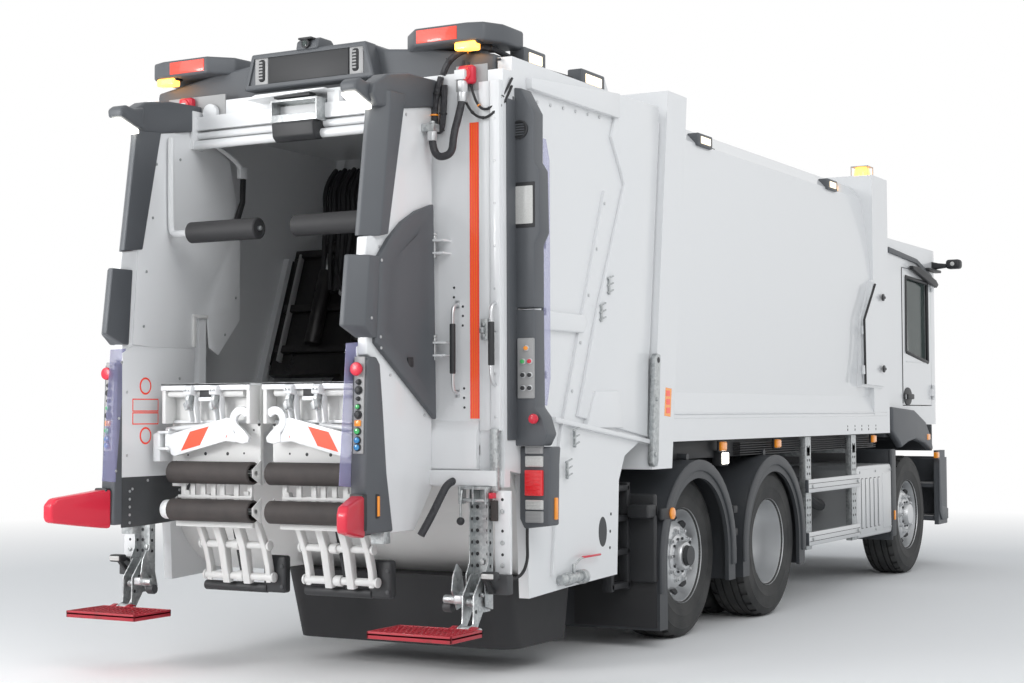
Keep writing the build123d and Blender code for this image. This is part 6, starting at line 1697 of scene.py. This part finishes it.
def makeBumper():
    made = []
    for side in (-1, 1):
        made.append(slab("clearLens", (6.325, side * 0.70, 0.66), (6.366, side * 0.93, 0.80), 0.020, 3))
        made.append(slab("chassis", (6.32, side * 0.67, 0.63), (6.362, side * 0.94, 0.83), 0.016, 3))
        for y in (0.76, 0.87):
            made.append(bar("silver", (6.355, side * y, 0.73), (6.370, side * y, 0.73), 0.045, 0.006, 32))
        made.append(slab("black", (6.34, side * 0.66, 0.42), (6.364, side * 0.90, 0.52), 0.010))
        made.append(bar("clearLens", (6.355, side * 0.78, 0.47), (6.368, side * 0.78, 0.47), 0.036, 0.004,
            28))
        made.append(slab("panel", (5.75, side * 1.00, 0.452), (6.03, side * 1.18, 0.462), 0.002))
        made.append(slab("panel", (5.75, side * 1.00, 0.752), (6.03, side * 1.18, 0.762), 0.002))
        made.append(cutout("charcoal", "y", [(5.722, 0.50), (5.80, 0.42), (6.0, 0.42), (6.0, 0.52),
            (5.80, 0.55), (5.76, 0.98), (5.722, 0.98)], side * 1.222, side * 1.240, 0.008, 3))
    made.append(slab("chassis", (6.34, -0.55, 0.62), (6.366, 0.55, 0.93), 0.012))
    for number in range(5):
        made.append(slab("black", (6.352, -0.52, 0.645 + 0.056 * number),
            (6.372, 0.52, 0.672 + 0.056 * number), 0.004))
    made.append(slab("panel", (6.352, -0.26, 0.44), (6.368, 0.26, 0.55), 0.003))
    return fit("bumperTrim", made, "root")


def makeFrontFlaps():  # the panel behind each front wheel
    made = []
    for side in (-1, 1):
        made.append(slab("fender", (4.290, side * 0.86, 0.33), (4.325, side * 1.218, 1.10), 0.012, 3))
        made.append(slab("fender", (4.285, side * 1.190, 0.36), (4.42, side * 1.222, 1.10), 0.014, 3))
        made.append(slab("amber", (4.34, side * 1.220, 0.50), (4.37, side * 1.232, 0.58), 0.005))
    return fit("frontFlaps", made, "root")


makeCabTrim()
makeFrontFlaps()
makeCabFace()
for sideName, side in sides.items():
    makeDoorTrim(sideName, side)
makeBumper()
print("cab made")
# ---- cab's inside: floor, dashboard, steering wheel and padded seats
inside = {"deck": 1.35, "dash": 5.85, "seatNear": 0.30, "seatFar": 0.82}


def makeCabInside():
    deck, dash = inside["deck"], inside["dash"]
    panel = [(dash, deck), (dash - 0.02, deck + 0.24), (dash + 0.03, deck + 0.33), (dash + 0.12, deck + 0.37),
        (dash + 0.30, deck + 0.35), (dash + 0.30, deck)]
    made = [cutout("dash", "y", panel, -0.948, 0.948, 0.018, 3)]
    for y in (-0.70, -0.15, 0.15, 0.80):
        made.append(slab("black", (dash - 0.024, y - 0.06, deck + 0.235),
            (dash + 0.002, y + 0.06, deck + 0.295), 0.008))
    made.append(slab("black", (dash - 0.012, -0.10, deck + 0.08), (dash + 0.006, 0.14, deck + 0.20), 0.006))
    made.append(slab("dash", (4.90, -0.285, deck), (dash, 0.285, deck + 0.055), 0.012))
    made.append(slab("dash", (5.10, -0.16, deck + 0.05), (5.60, 0.16, deck + 0.20), 0.030, 3))
    hub = (5.575, 0.55, 1.895)
    tilt = Matrix.Rotation(math.radians(-43.6), 4, "Y")
    made.append(bar("black", (dash - 0.05, 0.55, deck + 0.30), (dash - 0.275, 0.55, deck + 0.545), 0.030,
        0.004))
    bpy.ops.mesh.primitive_torus_add(major_radius=0.205, minor_radius=0.014, major_segments=48,
        minor_segments=12)
    parts = [coated(settle(bpy.context.object), "black"), bar("black", (0, 0, -0.025), (0, 0, 0.012), 0.055,
        0.010)]
    for angle in (0, 120, 240):
        turn = math.radians(angle + 30)
        parts.append(bar("black", (0, 0, -0.008), (0.20 * math.cos(turn), 0.20 * math.sin(turn), 0), 0.013,
            0.002, 12))
    rim = joinUp(parts)
    rim.matrix_world = Matrix.Translation(hub) @ tilt
    made.append(settle(rim))
    made.append(slab("black", (dash - 0.07, 0.50, deck), (dash + 0.01, 0.60, deck + 0.33), 0.014, 3))
    for side in (-1, 1):
        near, far = side * inside["seatNear"], side * inside["seatFar"]
        low, high = min(near, far), max(near, far)
        made.append(slab("black", (4.96, low + 0.04, deck), (5.28, high - 0.04, deck + 0.20), 0.020, 3))
        made.append(slab("black", (4.80, low + 0.06, deck + 0.18), (4.90, high - 0.06, deck + 0.40), 0.020,
            3))
        for y in (low + 0.20, high - 0.20):
            made.append(bar("silver", (4.865, y, 2.20), (4.860, y, 2.29), 0.007, 0.001, 12))
    return fit("cabInside", made, "cab", ["cab_interior"])


def makePad(name, low, high, axis):  # a crowned pad with two sewn channels across its face
    middle = [(a + b) / 2 for a, b in zip(low, high)]
    bpy.ops.mesh.primitive_cube_add(size=1, location=middle)
    pad = bpy.context.object
    pad.scale = [b - a for a, b in zip(low, high)]
    settle(pad)
    bpy.ops.object.mode_set(mode="EDIT")
    bpy.ops.mesh.select_all(action="SELECT")
    bpy.ops.mesh.subdivide(number_cuts=7)
    bpy.ops.object.mode_set(mode="OBJECT")
    place = "xyz".index(axis)
    half = [(b - a) / 2 for a, b in zip(low, high)]
    others = [number for number in range(3) if number != place]
    for vertex in pad.data.vertices:
        share = [(vertex.co[number] - middle[number]) / half[number] for number in range(3)]
        crown = (1 - share[others[0]] ** 4) * (1 - share[others[1]] ** 4)
        vertex.co[place] = middle[place] + share[place] * half[place] * (0.72 + 0.28 * crown)
        for number in others:
            pull = 1 - 0.035 * (1 - share[place] ** 2) - 0.03 * (share[3 - place - number if place
                + number < 3 else 0] ** 2)
            vertex.co[number] = middle[number] + share[number] * half[number] * pull
    facesEdited(pad,
        lambda face: abs((face.center.y - middle[1]) / half[1]) < 0.5 and face.normal[place] > 0.6)
    bpy.ops.mesh.inset(thickness=0.010, depth=-0.008)
    bpy.ops.object.mode_set(mode="OBJECT")
    pick(pad)
    smooth = pad.modifiers.new("smooth", "SUBSURF")
    smooth.levels = 2
    bpy.ops.object.modifier_apply(modifier=smooth.name)
    coated(pad, "seat")
    piece = fit(name, [pad], "cab", (), 60)
    return piece


makeCabInside()
for sideName, side in sides.items():
    low, high = sorted((side * inside["seatNear"], side * inside["seatFar"]))
    makePad(f"seatCushion{sideName.title()}", (4.905, low + 0.01, 1.555), (5.345, high - 0.01, 1.725), "z")
    makePad(f"seatBackrest{sideName.title()}", (4.805, low + 0.02, 1.70), (4.935, high - 0.02, 2.20), "x")
    makePad(f"headrest{sideName.title()}", (4.815, low + 0.13, 2.235), (4.915, high - 0.13, 2.395), "x")
print("cab inside made")
# the finish of each CAD node that stays in view
nodeFinish = {
    "white": ["body_shell", "gate_shell", "cab_shell", "door_left", "door_right", "service_door", "portal"],
    "hopper": ["trough"],
    "greasy": ["packer_plate", "packer_carriage", "ejector"],
    "chassis": ["frame_rails", "engine", "driveline", "front_axle", "trailing_axle", "drive_axle",
        "air_tanks", "knuckle_front_left", "knuckle_front_right", "knuckle_trailing_left",
        "knuckle_trailing_right"],
    "charcoal": ["dark_covers", "bumper", "cab_trim"],
    "fender": ["mudguards"],
    "black": ["fuel_tank"],
    "rubber": ["tub"],
    "aluminium": ["side_guards", "exhaust_box"],
    "glass": ["windscreen", "door_glass_left", "door_glass_right"],
    "flap": ["clear_flaps"],
    "redLens": ["tail_lamps"],
    "amber": ["beacons"],
    "dash": ["cab_interior"],
    "red": ["paddles"],
    "roller": ["stop_rollers"],
    "zinc": ["step_brackets"],
    "grating": ["step_left", "step_right"],
}
for finish, names in nodeFinish.items():
    for name in names:
        nodes[name].data.materials.clear()
        nodes[name].data.materials.append(finishes[finish])
for name, node in nodes.items():
    for start, finish in (("tyre_", "tyre"), ("rim_", "silver"), ("lifter_", "hopper"),
            ("swing_arm_", "stripes"), ("hose_", "rubber")):
        if name.startswith(start):
            node.data.materials.clear()
            node.data.materials.append(finishes[finish])
print("frame nodes finished")


# ---- studio
studio = {"floorSize": 60.0, "keyPower": 430.0, "fillPower": 200.0, "mouthPower": 125.0, "sky": 0.62}


def makeStudio():
    bpy.ops.mesh.primitive_plane_add(size=studio["floorSize"])
    floor = bpy.context.object
    floor.name = "studioFloor"
    finish = Finish("floorPaper", Roughness=0.9)
    finish.colour(finish.mix(finish.noise(0.6), shade(0.93, 0.93, 0.93), shade(0.95, 0.95, 0.95)))
    glow = finish.add("ShaderNodeEmission", None, {"Color": shade(1, 1, 1), "Strength": 1.0})
    length = finish.add("ShaderNodeVectorMath", {"operation": "LENGTH"}, {0: finish.place}, "Value")
    far = finish.step(length, 6.0, 13.0)
    merged = finish.add("ShaderNodeMixShader", None, {0: far, 1: Wire(finish, finish.shader.outputs[0]),
        2: glow})
    out = next(node for node in finish.tree.nodes if node.type == "OUTPUT_MATERIAL")
    finish.put(out.inputs["Surface"], merged)
    floor.data.materials.append(finish.material)
    world = bpy.data.worlds.new("studioWorld")
    bpy.context.scene.world = world
    world.use_nodes = True
    tree = world.node_tree
    back = next(node for node in tree.nodes if node.type == "BACKGROUND")
    back.inputs["Color"].default_value = shade(0.92, 0.96, 1.0)
    back.inputs["Strength"].default_value = studio["sky"]
    bright = tree.nodes.new("ShaderNodeBackground")
    bright.inputs["Color"].default_value = shade(1, 1, 1)
    path = tree.nodes.new("ShaderNodeLightPath")
    seen = tree.nodes.new("ShaderNodeMath")
    seen.operation = "MAXIMUM"
    tree.links.new(path.outputs["Is Camera Ray"], seen.inputs[0])
    tree.links.new(path.outputs["Is Transmission Ray"], seen.inputs[1])
    either = tree.nodes.new("ShaderNodeMath")
    either.operation = "MAXIMUM"
    tree.links.new(seen.outputs[0], either.inputs[0])
    tree.links.new(path.outputs["Is Glossy Ray"], either.inputs[1])
    pick = tree.nodes.new("ShaderNodeMixShader")
    tree.links.new(either.outputs[0], pick.inputs[0])
    tree.links.new(back.outputs[0], pick.inputs[1])
    tree.links.new(bright.outputs[0], pick.inputs[2])
    tree.links.new(pick.outputs[0], next(node for node in tree.nodes
        if node.type == "OUTPUT_WORLD").inputs[0])
    lamps = (("keyLight", (-9.0, -9.0, 9.0), 7.0, studio["keyPower"]),
        ("fillLight", (-11.0, 5.0, 6.0), 6.0, studio["fillPower"]),
        ("mouthLight", (-8.6, 2.2, 2.6), 1.6, studio["mouthPower"]))
    for name, place, size, power in lamps:
        bpy.ops.object.light_add(type="AREA", location=place)
        lamp = bpy.context.object
        lamp.name = name
        lamp.data.size = size
        lamp.data.energy = power
        lamp.rotation_euler = (Vector((0, 0, 1.5)) - Vector(place)).to_track_quat("-Z", "Y").to_euler()


makeStudio()
